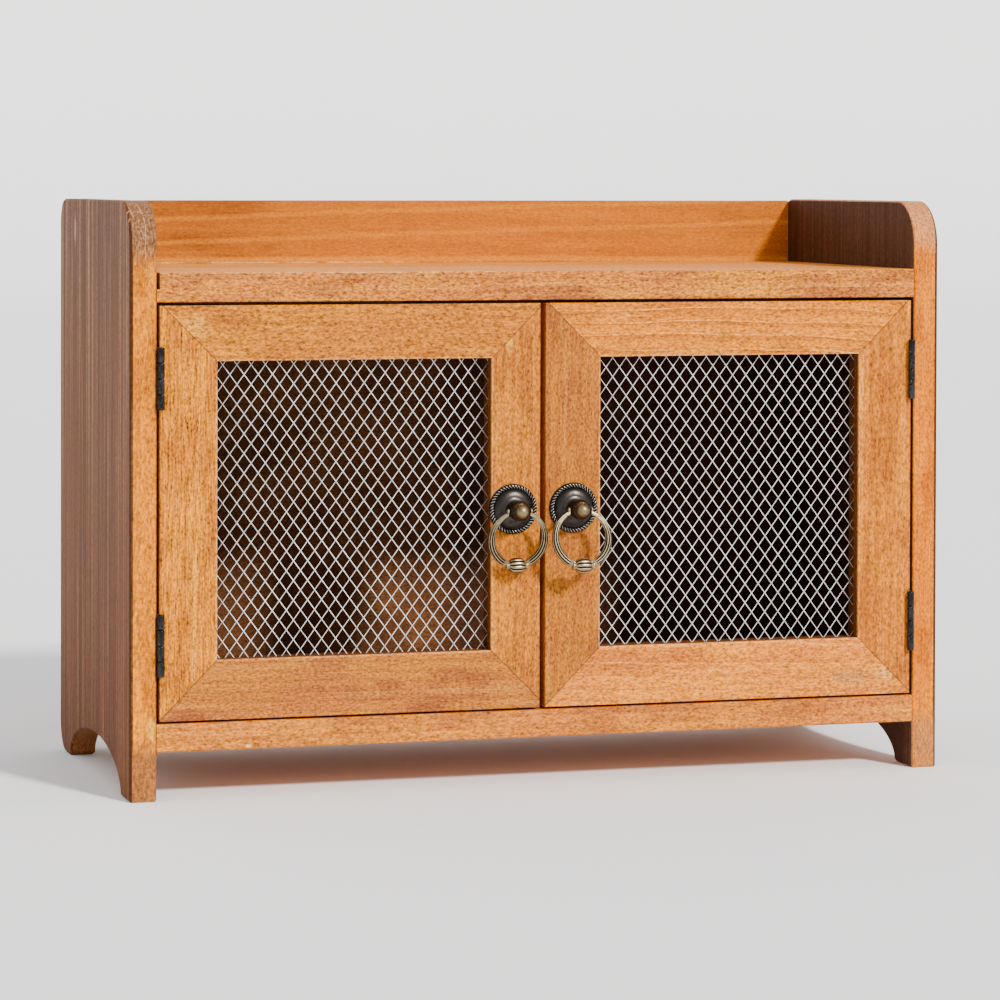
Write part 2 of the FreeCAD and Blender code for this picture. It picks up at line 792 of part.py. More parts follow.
def build_door(side):
    """Everything that swings with one door."""
    name = SIDE_NAMES[side]
    screws = hinge_screws(side, door_edge + leaf_thickness, -1)
    screw_back = pull_screw(side)
    plate_screw = strike_screw(side)
    nails = mitre_nails(side)
    pins = strip_pins(side)
    slab = door_slab(side)
    for member in ("hinge_stile", "meeting_stile", "top_rail", "bottom_rail"):
        bar = slab.common(mitre_wedge(side, member))
        bar = bar.cut(nails).cut(pins)
        if member == "hinge_stile":
            bar = bar.cut(screws)
        if member == "meeting_stile":
            bar = bar.cut(screw_back)
        if member == "top_rail":
            bar = bar.cut(plate_screw)
        save(bar, name + "_" + member)
    save(door_mesh(side), name + "_mesh")
    save(Part.makeCompound([strip.cut(pins) for strip in mesh_strips(side)]), name + "_mesh_strips")
    save(pins, name + "_strip_pins")
    save(nails, name + "_mitre_nails")
    face = door_edge + leaf_thickness
    leaves = [hinge_leaf(side, face, low, 1, round_bore(side, low)) for low in hinge_bottoms]
    save(Part.makeCompound(leaves).cut(screws), name + "_door_leaves")
    save(screws, name + "_door_hinge_screws")
    save(strike_plate(side, plate_screw), name + "_strike_plate")
    save(plate_screw, name + "_strike_screw")
    save(pull_plate(side, screw_back), name + "_pull_plate")
    save(pull_post(side, screw_back), name + "_pull_post")
    save(screw_back, name + "_pull_screw")
    save(pull_ring(side), name + "_pull_ring")


def build_carcass():
    """The boards that stand still, and what is fixed to them."""
    dowels = carcass_dowels()
    uprights = gallery_dowels()
    brads = back_brads()
    under_screws = catch_screws()
    frame_screws = {side: hinge_screws(side, inner_face - leaf_thickness, 1) for side in (LEFT, RIGHT)}
    for side in (LEFT, RIGHT):
        held = Part.makeCompound([dowels, frame_screws[side], brads])
        save(side_board(side, held), SIDE_NAMES[side] + "_side_board")
        leaves = [hinge_leaf(side, inner_face, low, 0, tight_bore(side, low)) for low in hinge_bottoms]
        save(Part.makeCompound(leaves).cut(frame_screws[side]), SIDE_NAMES[side] + "_frame_leaves")
        save(catch_housing(side, under_screws), SIDE_NAMES[side] + "_catch_housing")
    top = cross_board(top_underside, tray_floor, top_underside - overrun, top_underside + back_lap)
    slot = block(
        -inner_face - overrun, -inner_face + slot_width, front - overrun, back + overrun,
        tray_floor - slot_height, tray_floor + overrun,
    )
    held = Part.makeCompound([dowels, uprights, brads, under_screws])
    save(top.cut(slot).cut(held), "top_board")
    bottom = cross_board(base_height, bottom_top, bottom_top - back_lap, bottom_top + overrun)
    save(bottom.cut(Part.makeCompound([dowels, brads])), "bottom_board")
    save(gallery_board().cut(uprights), "gallery_board")
    save(back_panel(brads), "back_panel")
    save(dowels, "carcass_dowels")
    save(uprights, "gallery_dowels")
    save(brads, "back_panel_brads")
    save(Part.makeCompound(list(frame_screws.values())), "frame_hinge_screws")
    save(hinge_pins(), "hinge_pins")
    save(Part.makeCompound([catch_magnet(side) for side in (LEFT, RIGHT)]), "catch_magnets")
    save(under_screws, "catch_screws")


build_carcass()
for door_side in (LEFT, RIGHT):
    build_door(door_side)
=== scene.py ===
"""Desktop cabinet with mesh doors: the finishes, the wire, the pulls and the hinges."""

import math

import bpy
from mathutils import Matrix, Vector


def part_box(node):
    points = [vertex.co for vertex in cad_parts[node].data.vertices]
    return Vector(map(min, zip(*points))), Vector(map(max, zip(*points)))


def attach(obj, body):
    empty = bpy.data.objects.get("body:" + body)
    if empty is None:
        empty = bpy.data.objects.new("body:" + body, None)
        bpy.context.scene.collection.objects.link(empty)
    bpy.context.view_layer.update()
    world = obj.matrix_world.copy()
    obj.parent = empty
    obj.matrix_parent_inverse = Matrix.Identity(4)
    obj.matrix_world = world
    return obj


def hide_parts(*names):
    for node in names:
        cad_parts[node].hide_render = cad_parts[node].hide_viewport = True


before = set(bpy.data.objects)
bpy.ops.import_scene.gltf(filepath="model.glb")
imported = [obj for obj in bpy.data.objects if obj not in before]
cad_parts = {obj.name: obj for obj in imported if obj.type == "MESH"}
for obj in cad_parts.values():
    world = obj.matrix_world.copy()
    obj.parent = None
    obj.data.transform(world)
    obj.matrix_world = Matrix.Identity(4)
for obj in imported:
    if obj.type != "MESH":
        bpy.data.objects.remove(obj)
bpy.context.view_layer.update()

X = Vector((1, 0, 0))
Y = Vector((0, 1, 0))
Z = Vector((0, 0, 1))
TURN = 2 * math.pi
SIDES = {"left": -1, "right": 1}


# The studio

CAMERA_PLACE = (-0.70008, -2.32244, 0.3712)
CAMERA_YAW = 0.2931
CAMERA_PITCH = 0.0197
CAMERA_ROLL = 0.0026
CAMERA_FILM = 36
CAMERA_LENS = 138.04
CAMERA_SHIFT = -0.25
CAMERA_REACH = 50
SURROUND_STRENGTH = 1.0
KEY_WAY = Vector((0.41, -1.0, 0.68))
KEY_STRENGTH = 5.0
KEY_SPREAD = math.radians(6.5)
KEY_TINT = (1, 0.97, 0.93)


def place_camera():
    """A long lens from the left and a little above, level enough to keep the uprights upright."""
    flat = math.cos(CAMERA_PITCH)
    ahead = Vector((math.sin(CAMERA_YAW) * flat, math.cos(CAMERA_YAW) * flat, -math.sin(CAMERA_PITCH)))
    level = Vector((math.cos(CAMERA_YAW), -math.sin(CAMERA_YAW), 0))
    upward = level.cross(ahead)
    right = level * math.cos(CAMERA_ROLL) + upward * math.sin(CAMERA_ROLL)
    upward = right.cross(ahead)
    data = bpy.data.cameras.new("camera")
    data.sensor_width = CAMERA_FILM
    data.lens = CAMERA_LENS
    data.shift_y = CAMERA_SHIFT
    data.clip_end = CAMERA_REACH
    camera = bpy.data.objects.new("camera", data)
    bpy.context.scene.collection.objects.link(camera)
    turn = Matrix((right, upward, -ahead)).transposed()
    camera.matrix_world = Matrix.Translation(CAMERA_PLACE) @ turn.to_4x4()
    bpy.context.scene.camera = camera


def light_studio():
    """One soft key from the front right above, and an even white surround."""
    world = bpy.data.worlds.new("surround")
    world.use_nodes = True
    background = world.node_tree.nodes["Background"]
    background.inputs["Color"].default_value = (1, 1, 1, 1)
    background.inputs["Strength"].default_value = SURROUND_STRENGTH
    bpy.context.scene.world = world
    data = bpy.data.lights.new("key", "SUN")
    data.energy = KEY_STRENGTH
    data.angle = KEY_SPREAD
    data.color = KEY_TINT
    lamp = bpy.data.objects.new("key", data)
    bpy.context.scene.collection.objects.link(lamp)
    lamp.matrix_world = KEY_WAY.to_track_quat("Z", "Y").to_matrix().to_4x4()


# Ways of working

MERGE_REACH = 1e-6


def let_go():
    """Nothing selected, so the next step acts on its own piece alone."""
    if bpy.context.object and bpy.context.object.mode != "OBJECT":
        bpy.ops.object.mode_set(mode="OBJECT")
    bpy.ops.object.select_all(action="DESELECT")


def take(piece):
    """The piece alone selected and active."""
    let_go()
    piece.select_set(True)
    bpy.context.view_layer.objects.active = piece


def name_it(name):
    """The new primitive, named."""
    piece = bpy.context.object
    piece.name = name
    piece.data.name = name
    return piece


def pick(piece, kind, test):
    """Selects the vertices, or the edges by both ends, of a piece in edit mode that pass a test."""
    bpy.ops.object.mode_set(mode="OBJECT")
    mesh = piece.data
    for part in (mesh.vertices, mesh.edges, mesh.polygons):
        part.foreach_set("select", [False] * len(part))
    if kind == "VERT":
        for vertex in mesh.vertices:
            vertex.select = test(vertex.co)
    else:
        for edge in mesh.edges:
            edge.select = test(*(mesh.vertices[end].co for end in edge.vertices))
    bpy.ops.object.mode_set(mode="EDIT")
    bpy.ops.mesh.select_mode(type=kind)


def settle(piece):
    """Normals outward, the place in the mesh, the object at the origin."""
    take(piece)
    bpy.ops.object.mode_set(mode="EDIT")
    bpy.ops.mesh.select_all(action="SELECT")
    bpy.ops.mesh.remove_doubles(threshold=MERGE_REACH)
    bpy.ops.mesh.normals_make_consistent(inside=False)
    bpy.ops.object.mode_set(mode="OBJECT")
    bpy.ops.object.transform_apply(location=True, rotation=True, scale=True)
    return piece


def join(pieces, name):
    """Several pieces made one."""
    let_go()
    for piece in pieces:
        piece.select_set(True)
    bpy.context.view_layer.objects.active = pieces[0]
    bpy.ops.object.join()
    piece = name_it(name)
    bpy.ops.object.transform_apply(location=True, rotation=True, scale=True)
    return piece


def copy_of(piece, name):
    """A copy with its own mesh."""
    twin = piece.copy()
    twin.data = piece.data.copy()
    twin.name = name
    bpy.context.scene.collection.objects.link(twin)
    return twin


def modifier(piece, kind, **settings):
    """A modifier added and applied."""
    take(piece)
    step = piece.modifiers.new(kind.lower(), kind)
    for key, value in settings.items():
        setattr(step, key, value)
    bpy.ops.object.modifier_apply(modifier=step.name)


def smooth(piece, degrees):
    """Soft shading over gentle turns, creases where they are sharp."""
    take(piece)
    bpy.ops.object.shade_smooth_by_angle(angle=math.radians(degrees))


def mark_hollows(piece, test):
    """How far each point lies in a groove, kept on the piece for its finish."""
    layer = piece.data.attributes.new("hollow", "FLOAT", "POINT")
    layer.data.foreach_set("value", [float(test(vertex.co)) for vertex in piece.data.vertices])


def turned(name, profile, centre, way, sides, flutes=0, depth=0.0, span=(0.0, 0.0)):
    """A piece turned about a line, from pairs of reach and radius, with flutes pressed in along a span."""
    let_go()
    bpy.ops.mesh.primitive_circle_add(vertices=sides, radius=profile[0][1])
    piece = name_it(name)
    bpy.ops.object.mode_set(mode="EDIT")
    bpy.ops.mesh.select_all(action="SELECT")
    bpy.ops.transform.translate(value=(0, 0, profile[0][0]))
    bpy.ops.mesh.edge_face_add()
    reach, radius = profile[0]
    for far, wide in profile[1:]:
        bpy.ops.mesh.extrude_region_move(TRANSFORM_OT_translate={"value": (0, 0, far - reach)})
        bpy.ops.transform.resize(value=(wide / radius, wide / radius, 1), center_override=(0, 0, far))
        reach, radius = far, wide
    if flutes:
        def in_flute(spot):
            around = round(math.atan2(spot.y, spot.x) / TURN * sides)
            return span[0] <= spot.z <= span[1] and around % (sides // flutes) == 0
        pick(piece, "VERT", in_flute)
        bpy.ops.transform.resize(value=(1 - depth, 1 - depth, 1), center_override=(0, 0, 0))
        bpy.ops.object.mode_set(mode="OBJECT")
        mark_hollows(piece, in_flute)
    bpy.ops.object.mode_set(mode="OBJECT")
    piece.matrix_world = Matrix.Translation(centre) @ Z.rotation_difference(way).to_matrix().to_4x4()
    bpy.ops.object.transform_apply(location=True, rotation=True, scale=True)
    return settle(piece)


# Finishes

class Shade:
    """What comes out of a node, on which the arithmetic signs work."""

    def __init__(self, coat, socket):
        self.coat = coat
        self.socket = socket

    def sum(self, sign, other, swapped=False):
        pair = (other, self) if swapped else (self, other)
        return self.coat.node("ShaderNodeMath", {"operation": sign}, {0: pair[0], 1: pair[1]})

    def alone(self, sign):
        return self.coat.node("ShaderNodeMath", {"operation": sign}, {0: self})

    def __add__(self, other):
        return self.sum("ADD", other)

    def __radd__(self, other):
        return self.sum("ADD", other, True)

    def __sub__(self, other):
        return self.sum("SUBTRACT", other)

    def __rsub__(self, other):
        return self.sum("SUBTRACT", other, True)

    def __mul__(self, other):
        return self.sum("MULTIPLY", other)

    def __rmul__(self, other):
        return self.sum("MULTIPLY", other, True)

    def __truediv__(self, other):
        return self.sum("DIVIDE", other)

    def __pow__(self, other):
        return self.sum("POWER", other)

    def __abs__(self):
        return self.alone("ABSOLUTE")

    def least(self, other):
        """The smaller of two values."""
        return self.sum("MINIMUM", other)

    def most(self, other):
        """The larger of two values."""
        return self.sum("MAXIMUM", other)

    def past_whole(self):
        """How far a value is past the whole number below it."""
        return self.alone("FRACT")


class Coat:
    """A finish: its material, and one way to add a node to it."""

    def __init__(self, name, **constants):
        self.material = bpy.data.materials.new(name)
        self.material.use_nodes = True
        self.tree = self.material.node_tree
        self.skin = self.tree.nodes["Principled BSDF"]
        for key, value in constants.items():
            self.skin.inputs[key.replace("_", " ")].default_value = value

    def feed(self, socket, value):
        if isinstance(value, Shade):
            self.tree.links.new(value.socket, socket)
        elif isinstance(value, (tuple, list)) and socket.type == "RGBA":
            socket.default_value = tuple(value) + (1,) * (4 - len(value))
        else:
            socket.default_value = value

    def node(self, kind, settings=None, sockets=None, out=0):
        made = self.tree.nodes.new(kind)
        for key, value in (settings or {}).items():
            setattr(made, key, value)
        for key, value in (sockets or {}).items():
            self.feed(made.inputs[key], value)
        return Shade(self, made.outputs[out])

    def spot(self):
        return self.node("ShaderNodeTexCoord", out="Object")

    def axes(self, spot):
        split = self.node("ShaderNodeSeparateXYZ", sockets={0: spot})
        outputs = split.socket.node.outputs
        return [Shade(self, outputs[index]) for index in range(3)]

    def moved(self, spot, shift=(0, 0, 0), turn=(0, 0, 0), scale=(1, 1, 1)):
        return self.node("ShaderNodeMapping", sockets={
            "Vector": spot, "Location": shift, "Rotation": turn, "Scale": scale,
        })

    def noise(self, spot, scale, detail=2.0, rough=0.5, shift=(0, 0, 0)):
        """Cloudy grey about a half, as fine along each axis as scale says."""
        return self.node("ShaderNodeTexNoise", sockets={
            "Vector": self.moved(spot, shift=shift, scale=scale),
            "Scale": 1.0, "Detail": detail, "Roughness": rough,
        })

    def step(self, value, low, high, start=0.0, end=1.0):
        """A smooth way from start at low to end at high."""
        return self.node("ShaderNodeMapRange", {"interpolation_type": "SMOOTHSTEP"}, {
            "Value": value, "From Min": low, "From Max": high, "To Min": start, "To Max": end,
        })

    def fade(self, value, low, high):
        """One up to low, and nothing past high."""
        return self.step(value, low, high, 1.0, 0.0)

    def band(self, value, start, full, last, gone):
        """One from full to last, nothing before start and past gone."""
        return self.step(value, start, full) - self.step(value, last, gone)

    def mix(self, share, first, second, way="MIX"):
        return self.node("ShaderNodeMix", {"data_type": "RGBA", "blend_type": way}, {
            0: share, 6: first, 7: second,
        }, out=2)

    def bump(self, height, strength, distance):
        normal = self.node("ShaderNodeBump", sockets={
            "Height": height, "Strength": strength, "Distance": distance,
        })
        self.feed(self.skin.inputs["Normal"], normal)


def tone(red, green, blue):
    """A colour as seen on a screen, made the linear one that a finish takes."""
    return tuple((value / 255 / 12.92) if value <= 10 else ((value / 255 + 0.055) / 1.055) ** 2.4
                 for value in (red, green, blue))


# Where the faces of the cabinet are
FRONT = -0.101148
BACK = 0.126852
HALF_WIDTH = 0.257
INNER_FACE = 0.2408
TRAY_FLOOR = 0.3127
TOP_UNDERSIDE = 0.2951
BOTTOM_TOP = 0.0456
DOOR_BACK = -0.085148
WINDOW_LOW = 0.0828
WINDOW_HIGH = 0.2601
WINDOW_NEAR = 0.03465
WINDOW_FAR = 0.20425

# How fine the wood's patterns are along a board and across it
WANDER_SCALE = (5, 20, 20)
RIPPLE_SCALE = (20, 120, 120)
CLOUD_SCALE = (11, 30, 30)
STAIN_SCALE = (22, 60, 60)
STREAK_SCALE = (7, 240, 240)
FIBRE_SCALE = (60, 900, 900)
SPECK_SCALE = (420, 820, 820)
SEED_SHIFT = (0.31, 0.17, 0.23)
STAIN_SHIFT = (3.1, 1.7, 2.3)

# How far the growth rings stray, and where in a ring its late wood and its pale line lie
WANDER_ACROSS = 0.014
WANDER_UP = 0.01
RIPPLE_UP = 0.003
LATE_WOOD = (0.3, 0.93, 0.95, 1.0)
PALE_LINE = (0.84, 0.91, 0.93, 1.0)

# The wood's tones as ratios of its ground colour
GOLDEN = (1.13, 1.30, 0.7)
BROWN = (0.68, 0.63, 0.9)
DEEP = (0.60, 0.53, 0.7)
PALE_RATIO = 1.15
PALE_EXTRA = (0.12, 0.11, 0.02)

# The edges of marks: a hair past a face, where they have come in fully, how far the painted shade inside
# reaches about the doors' backs, where it ends in the back panel, and how far the tray's tone runs down its
# edge
HAIR = 0.0001
SOFT = 0.0006
INSIDE_SHADE_REACH = 0.004
PANEL_START = 0.0028
PANEL_FULL = 0.0022
TRAY_START = 0.0008

# Tints of the marks
# Painted shade inside the cupboard, on the left and on the right
SHADED = {"left": (0.185, 0.070, 0.025), "right": (0.066, 0.023, 0.010)}
# Painted highlight on the window's eased edge
EASED_EDGE_HIGHLIGHT = (0.80, 0.36, 0.12)
# Painted shade on the window's inner faces
WINDOW_WALL_SHADE = (0.085, 0.026, 0.010)
MITRE_LINE = (0.045, 0.018, 0.009)
KNOCKED_OFF = (0.62, 0.40, 0.20)
TRAY_BROAD = (0.60, 0.170, 0.020)
TRAY_DARK = (0.36, 0.110, 0.016)
TRAY_PALE = (0.88, 0.420, 0.120)
FROST = (0.50, 0.31, 0.19)
ARC_PALE = (0.60, 0.40, 0.26)
ARC_PITCH = 0.0062
ARC_START = 0.42
ARC_BEND = 9.0
SCORE_PALE = (0.38, 0.22, 0.120)
RUBBED_PALE = (0.50, 0.33, 0.21)
# Painted shade inside the foot arch
FOOT_ARCH_SHADE = (0.05, 0.018, 0.008)
# The outer face: its tones, darkened partly as painted shade, its streaks, a tint darker towards the top,
# and painted shade along its front edge
OUTER_SHADED_TONES = ((0.096, 0.022, 0.002), (0.145, 0.037, 0.004))
OUTER_PALE = (0.235, 0.084, 0.018)
OUTER_DARK = (0.060, 0.014, 0.002)
OUTER_TOP_DARKER = (0.085, 0.034, 0.014)
OUTER_EDGE_SHADE = (0.050, 0.019, 0.008)
RUBBED_DEPTH = 0.075
RUBBED_HEIGHT = 0.336

# What differs between the two side boards: how keen the scratches are, where the worn top starts and
# its tint, the tint of the foot, and the two tones of the inner face, painted shade, darker on the right
SIDE_WEAR_AND_SHADE = {
    "left": {
        "keen": 1.0, "start": 0.306, "top": (0.17, 0.074, 0.034), "foot": (0.26, 0.098, 0.030),
        "inner": ((0.16, 0.055, 0.016), (0.22, 0.08, 0.026)),
    },
    "right": {
        "keen": 0.45, "start": 0.316, "top": (0.50, 0.195, 0.070), "foot": (0.40, 0.150, 0.040),
        "inner": ((0.055, 0.022, 0.010), (0.092, 0.038, 0.018)),
    },
}


def scaled(colour, ratio):
    """A colour times a ratio for each of its channels."""
    return tuple(value * part for value, part in zip(colour, ratio))


def stained_wood(name, upright, seed, ground, ring_gap=0.0055, pith=(-0.13, 0.09),
                 drift=(0.02, 0.05), lines=0.35, rings=0.4, streaks=0.4, fibres=0.7,
                 specks=2.8, clouds=0.8, marks=()):
    """Softwood with a thin stain: growth rings cut along the board, clouds, streaks and specks."""
    coat = Coat(name, Roughness=0.55, Specular_IOR_Level=0.05)
    spot = coat.spot()
    turn = (0, math.pi / 2, 0) if upright else (0, 0, 0)
    along = coat.moved(spot, turn=turn)
    apart = coat.moved(along, shift=tuple(part * seed for part in SEED_SHIFT))
    length, depth, height = coat.axes(along)
    wander = coat.noise(apart, WANDER_SCALE)
    ripple = coat.noise(apart, RIPPLE_SCALE)
    across = depth + drift[0] * length - pith[0] + (wander - 0.5) * WANDER_ACROSS
    rise = height + drift[1] * length - pith[1]
    rise = rise + (ripple - 0.5) * RIPPLE_UP + (wander - 0.5) * WANDER_UP
    radius = (across * across + rise * rise) ** 0.5
    ring = (radius / ring_gap + 3).past_whole()
    late = coat.band(ring, *LATE_WOOD)
    line = coat.band(ring, *PALE_LINE)
    cloud = coat.noise(apart, CLOUD_SCALE, 4, 0.6)
    stain = coat.noise(apart, STAIN_SCALE, 4, 0.6, STAIN_SHIFT)
    streak = coat.noise(apart, STREAK_SCALE, 3, 0.6)
    fibre = coat.noise(apart, FIBRE_SCALE, 2, 0.6)
    speck = coat.noise(apart, SPECK_SCALE, 2, 0.7)
    deep = scaled(ground, DEEP)
    pale = tuple(value * PALE_RATIO + extra for value, extra in zip(ground, PALE_EXTRA))
    colour = coat.mix(coat.step(cloud, 0.40, 0.62) * clouds, ground, scaled(ground, GOLDEN))
    colour = coat.mix(coat.step(stain, 0.46, 0.66) * clouds, colour, scaled(ground, BROWN))
    colour = coat.mix(late * rings, colour, deep)
    colour = coat.mix(coat.step(streak, 0.5, 0.76) * streaks, colour, deep)
    colour = coat.mix(coat.fade(streak, 0.26, 0.46) * streaks * 0.8, colour, pale)
    colour = coat.mix(line * coat.step(cloud, 0.3, 0.66, 1.0, 0.4) * lines, colour, pale)
    for mark in marks:
        colour = mark(coat, spot, colour, speck)
    grain = (fibre - 0.5) * fibres + (speck - 0.5) * specks + 1
    shade = coat.node("ShaderNodeCombineColor", sockets={0: grain, 1: grain, 2: grain})
    colour = coat.mix(1.0, colour, shade, "MULTIPLY")
    coat.feed(coat.skin.inputs["Base Color"], colour)
    coat.feed(coat.skin.inputs["Roughness"], 0.5 + speck * 0.16)
    coat.bump(fibre * 0.5 + speck * 0.5 + late * 0.2, 0.4, 0.0002)
    return coat.material


# Marks of stain and wear, and of painted shade, each laid over a board's colour by its place

def ramp_mark(axis, low, high, tint, soft, strength):
    """A tint that comes in along one axis between two places, with a cloudy edge."""
    def mark(coat, spot, colour, speck):
        place = coat.axes(spot)[axis]
        cloud = coat.noise(spot, (60, 60, 60), 3)
        mask = coat.step(place + (cloud - 0.5) * soft * 4, low, high)
        return coat.mix(mask * strength, colour, tint)
    return mark


def painted_inside_shade(coat, spot, colour, speck):
    """Painted shade inside the cupboard, lighter on the left and darker on the right, with cloudy darker
    patches.
    """
    across, depth, height = coat.axes(spot)
    wide = coat.fade(abs(across), INNER_FACE + 2 * HAIR, INNER_FACE + SOFT + 2 * HAIR)
    tall = coat.band(height, BOTTOM_TOP - SOFT, BOTTOM_TOP - HAIR,
                     TOP_UNDERSIDE + HAIR, TOP_UNDERSIDE + SOFT)
    deep = coat.band(depth, DOOR_BACK - INSIDE_SHADE_REACH, DOOR_BACK + INSIDE_SHADE_REACH,
                     BACK - PANEL_START, BACK - PANEL_FULL)
    cloud = coat.noise(spot, (30, 30, 30), 3)
    tint = coat.mix(coat.step(across, -0.02, 0.02), SHADED["left"], SHADED["right"])
    tint = coat.mix(coat.step(cloud, 0.35, 0.65) * 0.45, tint, scaled(SHADED["right"], (0.5, 0.5, 0.5)))
    return coat.mix(wide * tall * deep, colour, tint)


def mitre_lines(side):
    """The dark hairline of each mitre, a painted highlight on the eased edge round the window, and painted
    shade on the window's inner faces.
    """
    def mark(coat, spot, colour, speck):
        across, depth, height = coat.axes(spot)
        middle = SIDES[side] * (WINDOW_NEAR + WINDOW_FAR) / 2
        out = abs(across - middle) - (WINDOW_FAR - WINDOW_NEAR) / 2
        up = abs(height - (WINDOW_LOW + WINDOW_HIGH) / 2) - (WINDOW_HIGH - WINDOW_LOW) / 2
        reach = out.least(up)
        apart = abs(out - up)
        ragged = coat.noise(spot, (500, 500, 500))
        line = coat.fade(apart + (ragged - 0.5) * 0.0004, 0.00015, 0.00055)
        line = line * coat.step(reach, -0.0002, 0.0004)
        # Painted highlight along the eased edge round the window
        edge = coat.fade(out.most(up) + (ragged - 0.5) * 0.0006, 0.0006, 0.0013)
        front = coat.fade(depth, FRONT + 0.0012, FRONT + 0.002)
        colour = coat.mix(edge * front * 0.4, colour, EASED_EDGE_HIGHLIGHT)
        # Painted shade on the window's inner faces and the strips set behind them
        inside = coat.step(depth, FRONT + 0.0015, FRONT + 0.003)
        wall_shade = coat.fade(out.most(up), 2 * HAIR, SOFT)
        colour = coat.mix(inside * wall_shade * 0.85, colour, WINDOW_WALL_SHADE)
        return coat.mix(line * front * 0.8, colour, MITRE_LINE)
    return mark


def patch(centre, spread_across, spread_up, tint, strength=0.7):
    """A soft stain on the front at a place across and up."""
    def mark(coat, spot, colour, speck):
        across, _, height = coat.axes(spot)
        wide = (across - centre[0]) / spread_across
        tall = (height - centre[1]) / spread_up
        cloud = coat.noise(spot, (150, 150, 150), 3)
        far = wide * wide + tall * tall + (cloud - 0.5) * 1.4
        return coat.mix(coat.fade(far, 0.2, 1.1) * strength, colour, tint)
    return mark


def chipped_edge(level, depth_place, low, high, tint=KNOCKED_OFF):
    """A thin pale ragged line along the board where the stain is knocked off."""
    def mark(coat, spot, colour, speck):
        across, depth, height = coat.axes(spot)
        ragged = coat.noise(spot, (260, 900, 900), 4, 0.7)
        gap = coat.noise(spot, (38, 1, 1), 3, 0.7)
        near = abs(height - level) + abs(depth - depth_place) * 0.6
        mask = coat.fade(near + (ragged - 0.5) * 0.0018, 0.0, 0.0007)
        mask = mask * coat.step(gap, 0.40, 0.56)
        mask = mask * coat.band(across, low, low + 0.02, high - 0.05, high)
        return coat.mix(mask * 0.8, colour, tint)
    return mark


def tray_grain(coat, spot, colour, speck):
    """Darker streaks along the tray's floor, where the stain has sunk into the grain."""
    height = coat.axes(spot)[2]
    floor = coat.step(height, TRAY_FLOOR - TRAY_START, TRAY_FLOOR - HAIR)
    streak = coat.noise(spot, (5, 190, 1), 4, 0.65)
    broad = coat.noise(spot, (4, 26, 1), 3, shift=(0.4, 0.2, 0))
    colour = coat.mix(floor * coat.step(broad, 0.4, 0.62) * 0.35, colour, TRAY_BROAD)
    colour = coat.mix(floor * coat.step(streak, 0.48, 0.68) * 0.55, colour, TRAY_DARK)
    return coat.mix(floor * coat.fade(streak, 0.30, 0.44) * 0.4, colour, TRAY_PALE)


def pale_bands(levels, slope, tint, width=0.0024, strength=0.45):
    """Soft pale growth bands at heights along a board, rising a little to the right."""
    def mark(coat, spot, colour, speck):
        across, _, height = coat.axes(spot)
        sway = coat.noise(spot, (9, 1, 1))
        rise = height - across * slope + (sway - 0.5) * 0.004
        for level in levels:
            near = abs(rise - level)
            colour = coat.mix(coat.step(near, width * 0.2, width, strength, 0.0), colour, tint)
        return colour
    return mark


def worn_arcs(side):
    """Thin worn arcs and the greyer, thinner stain over the rounded top of a side's front edge."""
    def mark(coat, spot, colour, speck):
        across, depth, height = coat.axes(spot)
        wear_and_shade = SIDE_WEAR_AND_SHADE[side]
        cloud = coat.noise(spot, (90, 90, 60), 3)
        front = coat.step(abs(across), INNER_FACE + HAIR, INNER_FACE + SOFT - HAIR)
        front = front * coat.fade(abs(across), HALF_WIDTH - 0.0017, HALF_WIDTH - 2 * SOFT)
        high = coat.step(height + (cloud - 0.5) * 0.02, wear_and_shade["start"], wear_and_shade["start"] + 0.028)
        colour = coat.mix(front * high * 0.94, colour, wear_and_shade["top"])
        frost = coat.step(speck, 0.5, 0.66)
        colour = coat.mix(front * high * frost * 0.22, colour, FROST)
        bend = across + (depth - FRONT) * (depth - FRONT) * ARC_BEND + (cloud - 0.5) * 0.0024
        arc = (bend / ARC_PITCH + ARC_START).past_whole()
        arc = coat.fade(abs(arc - 0.5), 0.01, 0.06)
        scratch = coat.step(coat.noise(spot, (160, 70, 70), 3), 0.42, 0.6)
        colour = coat.mix(arc * scratch * front * high * 0.6, colour, ARC_PALE)
        low = coat.fade(height + (cloud - 0.5) * 0.012, 0.024, 0.04)
        return coat.mix(front * low * 0.9, colour, wear_and_shade["foot"])
    return mark


